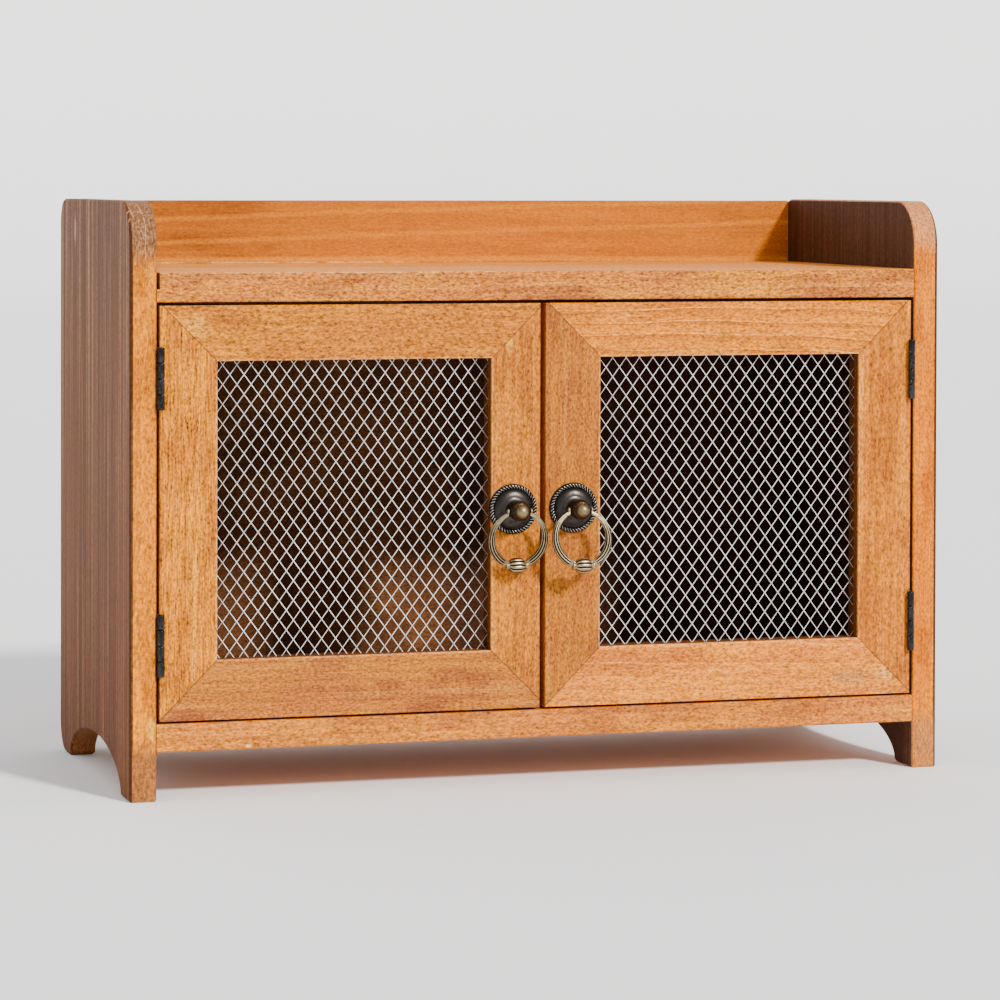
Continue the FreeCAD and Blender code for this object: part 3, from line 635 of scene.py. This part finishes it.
def side_faces(side):
    """The outer face, greyer and darkened partly as painted shade, with fine pale streaks and painted shade
    along its front edge, painted shade in the foot arch, and the inner face above the tray darkened as
    painted shade.
    """
    def mark(coat, spot, colour, speck):
        across, depth, height = coat.axes(spot)
        wear_and_shade = SIDE_WEAR_AND_SHADE[side]
        keen = wear_and_shade["keen"]
        outer = coat.step(abs(across), HALF_WIDTH - 0.0022, HALF_WIDTH - 0.0017)
        inner = coat.fade(abs(across), INNER_FACE + HAIR, INNER_FACE + SOFT)
        fine = coat.noise(spot, (1, 330, 3.2), 3, 0.7)
        broad = coat.noise(spot, (1, 46, 1.6), shift=(0, 0.3, 0))
        scores = coat.noise(spot, (1, 620, 2.4), 2, 0.6, (0, 0.7, 0.2))
        # The outer face's grey-brown: real grain, darkened as painted shade for a face turned from the
        # light
        grey = coat.mix(coat.step(broad, 0.35, 0.65), *OUTER_SHADED_TONES)
        grey = coat.mix(coat.step(fine, 0.54, 0.66) * 0.6 * keen, grey, OUTER_PALE)
        grey = coat.mix(coat.fade(fine, 0.34, 0.46) * 0.5, grey, OUTER_DARK)
        upper = coat.step(height, 0.15, 0.33, 0.3, 1.0)
        # Darker towards the top of the outer face
        top_darker = coat.step(height, 0.27, 0.34)
        grey = coat.mix(top_darker * 0.35, grey, OUTER_TOP_DARKER)
        grey = coat.mix(coat.step(scores, 0.56, 0.62) * upper * 0.85 * keen, grey, SCORE_PALE)
        rubbed = abs(height - RUBBED_HEIGHT) * 0.3 + abs(depth - RUBBED_DEPTH)
        grey = coat.mix(coat.fade(rubbed, 0.001, 0.005) * 0.7, grey, RUBBED_PALE)
        # Painted shade along the rounded front edge of the outer face
        edge = coat.fade(depth, FRONT + 0.0025, FRONT + 0.005)
        grey = coat.mix(edge * 0.7, grey, OUTER_EDGE_SHADE)
        colour = coat.mix(outer, colour, grey)
        # Painted shade on the inner face above the tray, the right one darker
        colour = coat.mix(inner, colour, coat.mix(coat.step(fine, 0.4, 0.62), *wear_and_shade["inner"]))
        # Painted shade inside the foot arch, behind the front and low down
        arch_shade = coat.fade(abs(across), HALF_WIDTH - 3 * SOFT, HALF_WIDTH - 2 * SOFT)
        arch_shade = arch_shade * coat.step(depth, FRONT + 0.010, FRONT + 0.016) * coat.fade(height, 0.04, 0.05)
        return coat.mix(arch_shade, colour, FOOT_ARCH_SHADE)
    return mark


def finish(node, material):
    """A board of the frame takes a finish."""
    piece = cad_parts[node]
    piece.data.materials.clear()
    piece.data.materials.append(material)


def finish_boards():
    """Every board its own stretch of the log: whether it stands, its seed, its ground colour, the rest."""
    grain = {
        "left_side_board": (True, 1, (0.616, 0.175, 0.002), {
            "pith": (0.04, 0.32), "drift": (0.01, 0.03), "rings": 0.12, "streaks": 0.15, "specks": 2.6,
            "marks": (side_faces("left"), worn_arcs("left"), painted_inside_shade,
                      patch((-0.2436, 0.0425), 0.003, 0.008, (0.70, 0.36, 0.03)))}),
        "right_side_board": (True, 2, (0.612, 0.146, 0.002), {
            "pith": (-0.05, -0.16), "drift": (0.02, 0.02), "rings": 0.12, "streaks": 0.15, "specks": 2.2,
            "marks": (side_faces("right"), worn_arcs("right"), painted_inside_shade)}),
        "top_board": (False, 3, (0.495, 0.152, 0.023), {
            "pith": (-0.10, 0.26), "drift": (0.03, 0.01), "rings": 0.3, "streaks": 0.7, "specks": 3.4,
            "clouds": 1.0,
            "marks": (patch((-0.205, 0.3095), 0.045, 0.0014, (0.26, 0.100, 0.030), 0.6),
                      ramp_mark(2, TRAY_FLOOR - TRAY_START, TRAY_FLOOR - HAIR,
                                (0.80, 0.280, 0.036), 0.0002, 0.75),
                      tray_grain,
                      chipped_edge(TRAY_FLOOR - 0.0004, FRONT + 0.0006, -0.235, 0.02), painted_inside_shade)}),
        "bottom_board": (False, 4, (0.533, 0.160, 0.023), {
            "pith": (-0.12, 0.12), "drift": (0.03, 0.01),
            "marks": (painted_inside_shade, patch((-0.185, 0.031), 0.0022, 0.0012, (0.7, 0.45, 0.2)))}),
        "gallery_board": (False, 5, (0.378, 0.104, 0.007), {
            "pith": (0.05, 0.27), "drift": (0.01, 0.012), "ring_gap": 0.011, "rings": 0.4, "lines": 0.1,
            "streaks": 0.3, "fibres": 0.4, "specks": 1.2,
            "marks": (ramp_mark(0, -0.20, -0.02, (0.60, 0.165, 0.008), 0.004, 0.45),
                      pale_bands((0.3325, 0.3480), 0.033, (0.64, 0.225, 0.012)),
                      pale_bands((TRAY_FLOOR + 0.0024,), 0.0, (0.68, 0.250, 0.010), 0.0026, 0.6),
                      chipped_edge(TRAY_FLOOR + 0.0006, BACK - 0.0095, -0.225, 0.04, (0.74, 0.42, 0.15)))}),
        "back_panel": (False, 6, (0.36, 0.150, 0.040), {
            "pith": (0.10, 0.05), "drift": (0.04, 0.02), "ring_gap": 0.02, "rings": 0.5, "clouds": 0.4,
            "marks": (painted_inside_shade,)}),
    }
    doors = {
        "left_hinge_stile": (True, 7, (0.554, 0.166, 0.009), {
            "pith": (-0.10, 0.19), "drift": (0.01, 0.01), "ring_gap": 0.004, "streaks": 0.9,
            "fibres": 2.6}),
        "left_meeting_stile": (True, 8, (0.471, 0.140, 0.013), {
            "pith": (-0.12, 0.10), "drift": (0.03, 0.03), "lines": 0.45,
            "marks": (patch((-0.0235, 0.274), 0.003, 0.016, (0.62, 0.30, 0.03)),)}),
        "left_top_rail": (False, 9, (0.462, 0.140, 0.014), {
            "pith": (-0.12, 0.20), "drift": (0.01, 0.02), "specks": 3.2, "lines": 0.3,
            "marks": (patch((-0.219, 0.2800), 0.012, 0.010, (0.66, 0.27, 0.03), 0.55),)}),
        "left_bottom_rail": (False, 10, (0.407, 0.123, 0.023), {
            "pith": (-0.14, 0.16), "drift": (0.01, 0.03), "specks": 3.0, "clouds": 1.0}),
        "right_hinge_stile": (True, 11, (0.511, 0.144, 0.012), {
            "pith": (-0.12, -0.27), "drift": (0.01, 0.02), "streaks": 0.7}),
        "right_meeting_stile": (True, 12, (0.374, 0.110, 0.017), {
            "pith": (-0.14, -0.10), "drift": (0.02, 0.06)}),
        "right_top_rail": (False, 13, (0.641, 0.186, 0.011), {
            "pith": (-0.12, 0.235), "drift": (0.01, 0.03), "lines": 1.0, "ring_gap": 0.0075, "rings": 0.85,
            "marks": (patch((0.185, 0.2607), 0.0022, 0.0010, (0.03, 0.012, 0.006), 0.9),)}),
        "right_bottom_rail": (False, 14, (0.635, 0.184, 0.021), {
            "pith": (-0.13, 0.10), "drift": (0.01, 0.05), "lines": 0.7, "ring_gap": 0.0065,
            "marks": (patch((0.200, 0.0585), 0.016, 0.006, (0.30, 0.150, 0.060), 0.55),
                      patch((0.224, 0.0600), 0.008, 0.006, (0.70, 0.34, 0.08), 0.6))}),
        "left_mesh_strips": (True, 15, (0.330, 0.113, 0.030), {}),
        "right_mesh_strips": (True, 16, (0.330, 0.113, 0.030), {}),
    }
    for node, (upright, seed, ground, settings) in doors.items():
        settings["marks"] = settings.get("marks", ()) + (mitre_lines(node.split("_")[0]),)
        grain[node] = (upright, seed, ground, settings)
    for node, (upright, seed, ground, settings) in grain.items():
        finish(node, stained_wood(node + "_wood", upright, seed, ground, **settings))


def small_finish(name, colour, metallic, rough):
    """A plain finish whose gloss and tone vary a little."""
    coat = Coat(name, Metallic=metallic)
    cloud = coat.noise(coat.spot(), (700, 700, 700), 3)
    darker = scaled(colour, (0.7, 0.7, 0.7))
    coat.feed(coat.skin.inputs["Base Color"], coat.mix(coat.step(cloud, 0.3, 0.7), darker, colour))
    coat.feed(coat.skin.inputs["Roughness"], rough - 0.06 + cloud * 0.12)
    coat.bump(cloud, 0.15, 0.0001)
    return coat.material


def finish_hardware():
    """The small metal and plastic pieces."""
    zinc = small_finish("zinc_plate", tone(176, 178, 184), 1.0, 0.35)
    black = small_finish("black_steel", tone(40, 42, 46), 0.7, 0.42)
    plastic = small_finish("brown_plastic", tone(92, 58, 38), 0.0, 0.5)
    ferrite = small_finish("ferrite", tone(46, 46, 48), 0.3, 0.6)
    dowel = small_finish("beech_dowel", tone(214, 182, 140), 0.0, 0.6)
    for node in ("carcass_dowels", "gallery_dowels"):
        finish(node, dowel)
    for node in ("back_panel_brads", "catch_screws"):
        finish(node, zinc)
    for node in ("left_catch_housing", "right_catch_housing"):
        finish(node, plastic)
    finish("catch_magnets", ferrite)
    for node in ("frame_hinge_screws", "hinge_pins"):
        finish(node, black)
    for side in SIDES:
        finish(side + "_door_hinge_screws", black)
        for node in ("strip_pins", "mitre_nails", "strike_plate", "strike_screw", "pull_screw"):
            finish(side + "_" + node, zinc)


# Wire mesh

WIRE_ACROSS = 0.0087
WIRE_UP = 0.0118
WIRE_RADIUS = 0.00028
WIRE_OVERLAP = 0.92
WIRE_SHIFT = {"left": (-0.0016, 0.0034), "right": (-0.0003, -0.0009)}
# Painted shadow of the frame on the wires
WIRE_SHADOW_TINT = (0.16, 0.09, 0.05)


def wire_coat():
    """Bright galvanised wire, dulled in places, and darkened brown at the right end of each window as a
    painted shadow of the frame.
    """
    coat = Coat("galvanised_wire", Metallic=0.35)
    spot = coat.spot()
    cloud = coat.noise(spot, (160, 160, 160), 3)
    colour = coat.mix(coat.step(cloud, 0.35, 0.65), tone(222, 218, 212), tone(250, 250, 248))
    across = coat.axes(spot)[0]
    # Painted shadow of the frame on the wires at each window's right end
    shadowed = coat.band(across, -0.047, -0.037, -0.03, -0.02) + coat.step(across, 0.193, 0.204)
    colour = coat.mix(shadowed * 0.7, colour, WIRE_SHADOW_TINT)
    coat.feed(coat.skin.inputs["Base Color"], colour)
    coat.feed(coat.skin.inputs["Roughness"], 0.3 + cloud * 0.2)
    return coat.material


def wire_mesh(side, material):
    """Two sets of straight wires, one laid over the other, trimmed square in the rebate."""
    low, high = (Vector(corner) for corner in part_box(side + "_mesh"))
    shift_across, shift_up = WIRE_SHIFT[side]
    middle = (low + high) / 2 + Vector((shift_across, 0, shift_up))
    lean = math.atan2(WIRE_ACROSS, WIRE_UP)
    length = (high.z - low.z) / math.cos(lean) + 6 * WIRE_ACROSS
    sets = []
    for way in (1, -1):
        let_go()
        bpy.ops.mesh.primitive_cylinder_add(
            vertices=6, radius=WIRE_RADIUS, depth=length, rotation=(0, way * lean, 0),
        )
        wire = name_it(side + "_wires")
        bpy.ops.object.transform_apply(location=True, rotation=True, scale=True)
        half_span = (high.x - low.x) / 2 + length / 2 * math.sin(lean)
        count = 2 * math.ceil(half_span / WIRE_ACROSS) + 1
        first = -(count - 1) / 2 * WIRE_ACROSS
        wire.location = (middle.x + first, middle.y + way * WIRE_OVERLAP * WIRE_RADIUS, middle.z)
        bpy.ops.object.transform_apply(location=True, rotation=True, scale=True)
        modifier(wire, "ARRAY", count=count, use_relative_offset=False, use_constant_offset=True,
                 constant_offset_displace=(WIRE_ACROSS, 0, 0))
        sets.append(wire)
    mesh = join(sets, side + "_wire_mesh")
    bpy.ops.object.mode_set(mode="EDIT")
    for spot, normal in ((low, -X), (low, -Z), (high, X), (high, Z)):
        bpy.ops.mesh.select_all(action="SELECT")
        bpy.ops.mesh.bisect(plane_co=spot, plane_no=normal, use_fill=True, clear_outer=True)
    bpy.ops.object.mode_set(mode="OBJECT")
    settle(mesh)
    smooth(mesh, 70)
    mesh.data.materials.append(material)
    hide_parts(side + "_mesh")
    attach(mesh, side + "_door")


# Ring pulls

# Each pull's place across and how far its ring leans, in degrees
PULLS = {"left": (-0.02135, 10), "right": (0.01715, -10)}
PULL_HEIGHT = 0.1683

# Sizes of the ring, the rim's ridges, the ball, the eyes and the bead
RING_AXIS = 0.015
RING_RADIUS = 0.0168
RING_DROP = 0.0172
RING_END = math.radians(153)
RING_SIDES = 40
RING_STEPS = 96
FLUTE_POINTS = 5
RING_THICK = 0.0023
RING_NECK = 0.0017
RING_THINNING = 0.0013
NECK_END = 0.40
NECK_SOFT = 0.12
GROOVE_START = 0.46
GROOVE_END = 2.3
GROOVE_SOFT = 0.5
RIDGE_COUNT = 46
RIDGE_SIZE = (0.00050, 0.00105, 0.0019)
RIDGE_REACH = 0.0137
RIDGE_LEVEL = 0.0013
RIDGE_SLANT = math.radians(-38)
BALL_LEVEL = 0.0199
BALL_RADIUS = 0.0041
BALL_START = -20
BALL_STEP = 13.2
BALL_STEPS = 8
EYE_RADIUS = 0.0016
EYE_FLATNESS = 0.6
EYE_REACH = 0.00725
STUB_REACH = 0.0070
BEAD_FLUTES = 10
BEAD_FLUTE_DEPTH = 0.17
BEAD_FLUTE_REACH = 0.0048
GROOVE_BLACK = (0.009, 0.007, 0.005)

# Which of the points across a flute are drawn in, and by what ratio
FLUTE_RATIOS = (((0,), 0.72), ((1, 4), 0.91))

# Profiles of the turned pieces: distance along the line and radius
PLATE_PROFILE = [
    (0.0, 0.0150), (0.0006, 0.0153), (0.0011, 0.0149), (0.0012, 0.0128), (0.0013, 0.0126),
    (0.0021, 0.0123), (0.0029, 0.0114), (0.0036, 0.0102), (0.00405, 0.0088), (0.0043, 0.0076),
    (0.0043, 0.0071), (0.0046, 0.0067), (0.0046, 0.0050),
]
POST_PROFILE = [
    (0.0046, 0.0042), (0.0047, 0.0047), (0.0054, 0.0048), (0.0060, 0.0044), (0.0068, 0.0037),
    (0.0088, 0.0035), (0.0104, 0.0038), (0.0110, 0.0048), (0.0118, 0.0057), (0.0132, 0.0061),
    (0.0150, 0.0062), (0.0168, 0.0061), (0.0180, 0.0055), (0.0186, 0.0045), (0.01865, 0.0036),
]
HALF_BEAD_PROFILE = [
    (0.0010, 0.0047), (0.0026, 0.00455), (0.0038, 0.0040), (0.0047, 0.0031), (0.0051, 0.0023),
    (0.0054, 0.0021), (0.0058, 0.0025), (0.0064, 0.0026), (0.0069, 0.0024), (0.0071, 0.0016),
]
STUB_PROFILE = [(0, 0.0008), (0.0016, 0.00085), (0.0026, 0.0010), (0.0031, 0.0010)]


def bronze(name, dark, bright, low, high, rough, flecks=0.3):
    """Antique bronze: rubbed bright between two distances off the door, and dark in its grooves."""
    coat = Coat(name, Metallic=1.0)
    spot = coat.spot()
    depth = coat.axes(spot)[1]
    cloud = coat.noise(spot, (420, 420, 420), 4, 0.6)
    fleck = coat.noise(spot, (2400, 2400, 2400))
    worn = coat.step(FRONT - depth + (cloud - 0.5) * 0.0016, low, high)
    colour = coat.mix(worn, dark, bright)
    colour = coat.mix(coat.step(cloud, 0.46, 0.7) * 0.6, colour, scaled(dark, (0.6, 0.55, 0.5)))
    colour = coat.mix(coat.step(fleck, 0.55, 0.75) * flecks, colour, scaled(bright, (1.5, 1.5, 1.5)))
    hollow = coat.node("ShaderNodeAttribute", {"attribute_name": "hollow"}, out=2)
    colour = coat.mix(coat.step(hollow, 0.04, 0.42), colour, GROOVE_BLACK)
    coat.feed(coat.skin.inputs["Base Color"], colour)
    coat.feed(coat.skin.inputs["Roughness"], rough - 0.08 + cloud * 0.2)
    coat.bump(cloud * 0.6 + fleck * 0.4, 0.15, 0.0001)
    return coat.material


def pull_plate(side, materials):
    """The domed backplate with a twisted rope rim."""
    centre = Vector((PULLS[side][0], FRONT, PULL_HEIGHT))
    dome = turned(side + "_plate", PLATE_PROFILE, centre, -Y, 64)
    smooth(dome, 50)
    dome.data.materials.append(materials["plate"])
    let_go()
    bpy.ops.mesh.primitive_uv_sphere_add(segments=8, ring_count=6, radius=1)
    ridge = name_it(side + "_ridge")
    ridge.scale = RIDGE_SIZE
    bpy.ops.object.transform_apply(location=True, rotation=True, scale=True)
    place = Matrix.Translation(centre - Y * RIDGE_LEVEL)
    slant = Matrix.Translation(Z * RIDGE_REACH) @ Matrix.Rotation(RIDGE_SLANT, 4, Y)
    ridges = []
    for index in range(RIDGE_COUNT):
        twin = copy_of(ridge, side + "_ridge_%d" % index)
        twin.matrix_world = place @ Matrix.Rotation(TURN * index / RIDGE_COUNT, 4, Y) @ slant
        ridges.append(twin)
    bpy.data.objects.remove(ridge)
    rope = join(ridges, side + "_rope_rim")
    settle(rope)
    smooth(rope, 80)
    rope.data.materials.append(materials["rope"])
    plate = join([dome, rope], side + "_pull_backplate")
    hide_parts(side + "_pull_plate")
    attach(plate, side + "_door")


def pull_post(side, materials):
    """The turned post: collar, neck, the hub that carries the ring, and the ball."""
    centre = Vector((PULLS[side][0], FRONT, PULL_HEIGHT))
    ball = []
    for index in range(1, BALL_STEPS + 1):
        turn = math.radians(BALL_START + BALL_STEP * index)
        ball.append((BALL_LEVEL + BALL_RADIUS * math.sin(turn), BALL_RADIUS * math.cos(turn)))
    post = turned(side + "_knob_post", POST_PROFILE + ball, centre, -Y, 40)
    smooth(post, 45)
    post.data.materials.append(materials["knob"])
    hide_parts(side + "_pull_post")
    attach(post, side + "_door")


def held(value):
    """A value kept between nothing and one."""
    return min(max(value, 0), 1)


def ring_taper(turn):
    """How thick the ring is at a turn from its foot: a neck by the bead, full sides, thin ends."""
    share = max(abs(turn) / RING_END - 0.5, 0) * 2
    full = RING_THICK - RING_THINNING * share ** 1.2
    return RING_NECK + (full - RING_NECK) * held((abs(turn) - NECK_END) / NECK_SOFT)


def ring_grooves(spot):
    """How far a point of the ring lies in a lengthwise groove, fading at the neck and the ends."""
    turn = abs(math.atan2(spot.x, -spot.z))
    off = math.hypot(math.hypot(spot.x, spot.z) - RING_RADIUS, spot.y) / ring_taper(turn)
    deep = held((0.99 - off) / 0.2)
    return deep * held((turn - GROOVE_START) / NECK_SOFT) * held((GROOVE_END - turn) / GROOVE_SOFT)


def pull_ring(side, materials):
    """The open ring, fluted lengthwise and thin at its ends, with its eyes, collars and fluted bead."""
    centre, lean = PULLS[side]
    let_go()
    bpy.ops.mesh.primitive_circle_add(
        vertices=RING_SIDES, radius=RING_THICK, rotation=(0, math.pi / 2, 0),
    )
    ring = name_it(side + "_ring")
    bpy.ops.object.transform_apply(location=True, rotation=True, scale=True)
    for places, ratio in FLUTE_RATIOS:
        pick(ring, "VERT", lambda spot: round(
            math.atan2(spot.y, spot.z) / TURN * RING_SIDES) % FLUTE_POINTS in places)
        bpy.ops.transform.resize(value=(ratio, ratio, ratio), center_override=(0, 0, 0))
    bpy.ops.mesh.select_all(action="SELECT")
    bpy.ops.transform.translate(value=(0, 0, -RING_RADIUS))
    bpy.ops.object.mode_set(mode="OBJECT")
    ring.matrix_world = Matrix.Rotation(RING_END, 4, Y)
    bpy.ops.object.transform_apply(location=True, rotation=True, scale=True)
    bpy.ops.object.mode_set(mode="EDIT")
    bpy.ops.mesh.select_all(action="SELECT")
    bpy.ops.mesh.spin(steps=RING_STEPS, angle=2 * RING_END, center=(0, 0, 0), axis=(0, 1, 0))
    each = 2 * RING_END / RING_STEPS
    for index in range(RING_STEPS + 1):
        turn = -RING_END + each * index
        pick(ring, "VERT", lambda spot: abs(math.atan2(-spot.x, -spot.z) - turn) < each / 3)
        ratio = ring_taper(turn) / RING_THICK
        place = (-RING_RADIUS * math.sin(turn), 0, -RING_RADIUS * math.cos(turn))
        bpy.ops.transform.resize(value=(ratio, ratio, ratio), center_override=place)
    bpy.ops.object.mode_set(mode="OBJECT")
    mark_hollows(ring, ring_grooves)
    bead_profile = [(-reach, radius) for reach, radius in reversed(HALF_BEAD_PROFILE)]
    bead = turned(
        side + "_bead", bead_profile + HALF_BEAD_PROFILE, Z * -RING_RADIUS, X, 40,
        BEAD_FLUTES, BEAD_FLUTE_DEPTH, (-BEAD_FLUTE_REACH, BEAD_FLUTE_REACH),
    )
    pieces = [ring, bead]
    for way in (-1, 1):
        let_go()
        bpy.ops.mesh.primitive_uv_sphere_add(
            segments=20, ring_count=12, radius=EYE_RADIUS, rotation=(0, math.pi / 2, 0),
        )
        eye = name_it(side + "_eye")
        eye.scale.z = EYE_FLATNESS
        eye.location = (way * EYE_REACH, 0, RING_DROP)
        bpy.ops.object.transform_apply(location=True, rotation=True, scale=True)
        pieces.append(eye)
        start = Vector((way * STUB_REACH, 0, RING_DROP))
        down = Vector((way * 0.0004, 0, -0.0034)).normalized()
        pieces.append(turned(side + "_stub", STUB_PROFILE, start, down, 16))
    whole = join(pieces, side + "_ring_and_bead")
    axis = Vector((centre, FRONT - RING_AXIS, PULL_HEIGHT))
    turn = Matrix.Rotation(math.radians(lean), 4, X)
    whole.matrix_world = Matrix.Translation(axis) @ turn @ Matrix.Translation(-Z * RING_DROP)
    bpy.ops.object.transform_apply(location=True, rotation=True, scale=True)
    settle(whole)
    modifier(whole, "SUBSURF", levels=1, render_levels=1)
    smooth(whole, 60)
    whole.data.materials.append(materials["ring"])
    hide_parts(side + "_pull_ring")
    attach(whole, side + "_ring")


def fit_pulls():
    """Both ring pulls."""
    materials = {
        "plate": bronze("dark_bronze_dome", (0.014, 0.011, 0.010), (0.050, 0.043, 0.038),
                        0.001, 0.005, 0.3),
        "rope": bronze("rubbed_rope_rim", (0.006, 0.005, 0.005), (0.60, 0.56, 0.50),
                       0.0017, 0.0024, 0.32),
        "knob": bronze("rubbed_knob", (0.022, 0.013, 0.009), (0.25, 0.195, 0.100),
                       0.0191, 0.0199, 0.42, 0.5),
        "ring": bronze("rubbed_ring", (0.13, 0.098, 0.048), (0.40, 0.330, 0.195),
                       0.005, 0.014, 0.30, 0.5),
    }
    for side in SIDES:
        pull_plate(side, materials)
        pull_post(side, materials)
        pull_ring(side, materials)


# Hinges

HINGE_LOWS = (0.0739, 0.2316)
HINGE_TALL = 0.0372
LEAF_WIDE = 0.014
LEAF_THICK = 0.0008
DOOR_EDGE = 0.2391
LEAF_INSET = 0.0001
WEB_OVERLAP = 0.0006
LEAF_BEVEL = 0.0002
KNUCKLE_COUNT = 4
KNUCKLE_RADIUS = 0.0021
KNUCKLE_GAP = 0.00012
# How a knuckle's end is rounded: distance from the end and radius
KNUCKLE_END = [(0.0, 0.0016), (0.00008, 0.00185), (0.0003, 0.00205), (0.0006, KNUCKLE_RADIUS)]
PIN_ACROSS = 0.2387
PIN_DEPTH = -0.103548
STEEL_TONES = ((0.010, 0.011, 0.013), (0.035, 0.038, 0.044))
STEEL_FLECK = (0.30, 0.31, 0.33)


def leaf_plate(name, low, high):
    """A flat of steel with eased edges."""
    let_go()
    bpy.ops.mesh.primitive_cube_add(size=1)
    piece = name_it(name)
    low, high = Vector(low), Vector(high)
    piece.scale = high - low
    piece.location = (low + high) / 2
    bpy.ops.object.transform_apply(location=True, rotation=True, scale=True)
    modifier(piece, "BEVEL", width=LEAF_BEVEL, segments=2)
    return piece


def hinge_leaves(side, first, inner, name, body, material):
    """The two leaves of one part of the hinges: a flat, and every other knuckle with its web."""
    way = SIDES[side]
    low_x, high_x = sorted((way * inner, way * (inner + LEAF_THICK)))
    step = HINGE_TALL / KNUCKLE_COUNT
    pieces = []
    for low in HINGE_LOWS:
        pieces.append(leaf_plate(
            name, (low_x, FRONT + LEAF_INSET, low), (high_x, FRONT + LEAF_WIDE, low + HINGE_TALL),
        ))
        for index in range(first, KNUCKLE_COUNT, 2):
            bottom = low + index * step + KNUCKLE_GAP
            top = low + (index + 1) * step - KNUCKLE_GAP
            far_end = [(top - bottom - reach, radius) for reach, radius in reversed(KNUCKLE_END)]
            start = Vector((way * PIN_ACROSS, PIN_DEPTH, bottom))
            pieces.append(turned(name, KNUCKLE_END + far_end, start, Z, 32))
            pieces.append(leaf_plate(
                name, (low_x, PIN_DEPTH, bottom), (high_x, FRONT + WEB_OVERLAP, top),
            ))
    leaves = join(pieces, name)
    smooth(leaves, 40)
    leaves.data.materials.append(material)
    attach(leaves, body)
    return leaves


def fit_hinges():
    """Both hinges of each door."""
    coat = Coat("worn_black_steel", Metallic=0.8)
    spot = coat.spot()
    cloud = coat.noise(spot, (300, 300, 120), 4, 0.65)
    fleck = coat.noise(spot, (1800, 1800, 500))
    colour = coat.mix(coat.step(cloud, 0.4, 0.7), *STEEL_TONES)
    colour = coat.mix(coat.step(fleck, 0.62, 0.74) * 0.4, colour, STEEL_FLECK)
    coat.feed(coat.skin.inputs["Base Color"], colour)
    coat.feed(coat.skin.inputs["Roughness"], 0.16 + cloud * 0.2)
    coat.bump(cloud, 0.15, 0.0001)
    for side in SIDES:
        leaves = hinge_leaves(
            side, 0, INNER_FACE - LEAF_THICK, side + "_hinge_frame_side", "carcass", coat.material,
        )
        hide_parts(side + "_frame_leaves")
        leaves = hinge_leaves(
            side, 1, DOOR_EDGE, side + "_hinge_door_side", side + "_door", coat.material,
        )
        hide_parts(side + "_door_leaves")


# The floor

FLOOR_LONG = 50
FLOOR_DEEP = 30
FLOOR_MIDDLE = -5
FLOOR_DROP = 0.0002
SWEEP_RADIUS = 5
SWEEP_STEPS = 12
BACKDROP_RISE = 6
FLOOR_TONES = ((0.93, 0.93, 0.94), (0.95, 0.95, 0.96))


def lay_floor():
    """A pale floor that rises in one sweep into a pale backdrop far behind."""
    let_go()
    bpy.ops.mesh.primitive_plane_add(size=1, location=(0, FLOOR_MIDDLE, -FLOOR_DROP))
    floor = name_it("studio_floor")
    floor.scale = (FLOOR_LONG, FLOOR_DEEP, 1)
    bpy.ops.object.transform_apply(location=True, rotation=True, scale=True)
    far_edge = FLOOR_MIDDLE + FLOOR_DEEP / 2 - 1
    pick(floor, "EDGE", lambda first, second: first.y > far_edge and second.y > far_edge)
    before = 0.0
    for index in range(1, SWEEP_STEPS + 1):
        turn = math.radians(90 * index / SWEEP_STEPS)
        away = SWEEP_RADIUS * (math.sin(turn) - math.sin(before))
        upward = SWEEP_RADIUS * (math.cos(before) - math.cos(turn))
        bpy.ops.mesh.extrude_region_move(TRANSFORM_OT_translate={"value": (0, away, upward)})
        before = turn
    bpy.ops.mesh.extrude_region_move(TRANSFORM_OT_translate={"value": (0, 0, BACKDROP_RISE)})
    bpy.ops.object.mode_set(mode="OBJECT")
    settle(floor)
    smooth(floor, 60)
    coat = Coat("pale_floor", Roughness=0.9, Specular_IOR_Level=0.0)
    cloud = coat.noise(coat.spot(), (2, 2, 2))
    coat.feed(coat.skin.inputs["Base Color"], coat.mix(cloud, *FLOOR_TONES))
    floor.data.materials.append(coat.material)


place_camera()
light_studio()
lay_floor()
finish_boards()
finish_hardware()
wires = wire_coat()
for side in SIDES:
    wire_mesh(side, wires)
fit_pulls()
fit_hinges()
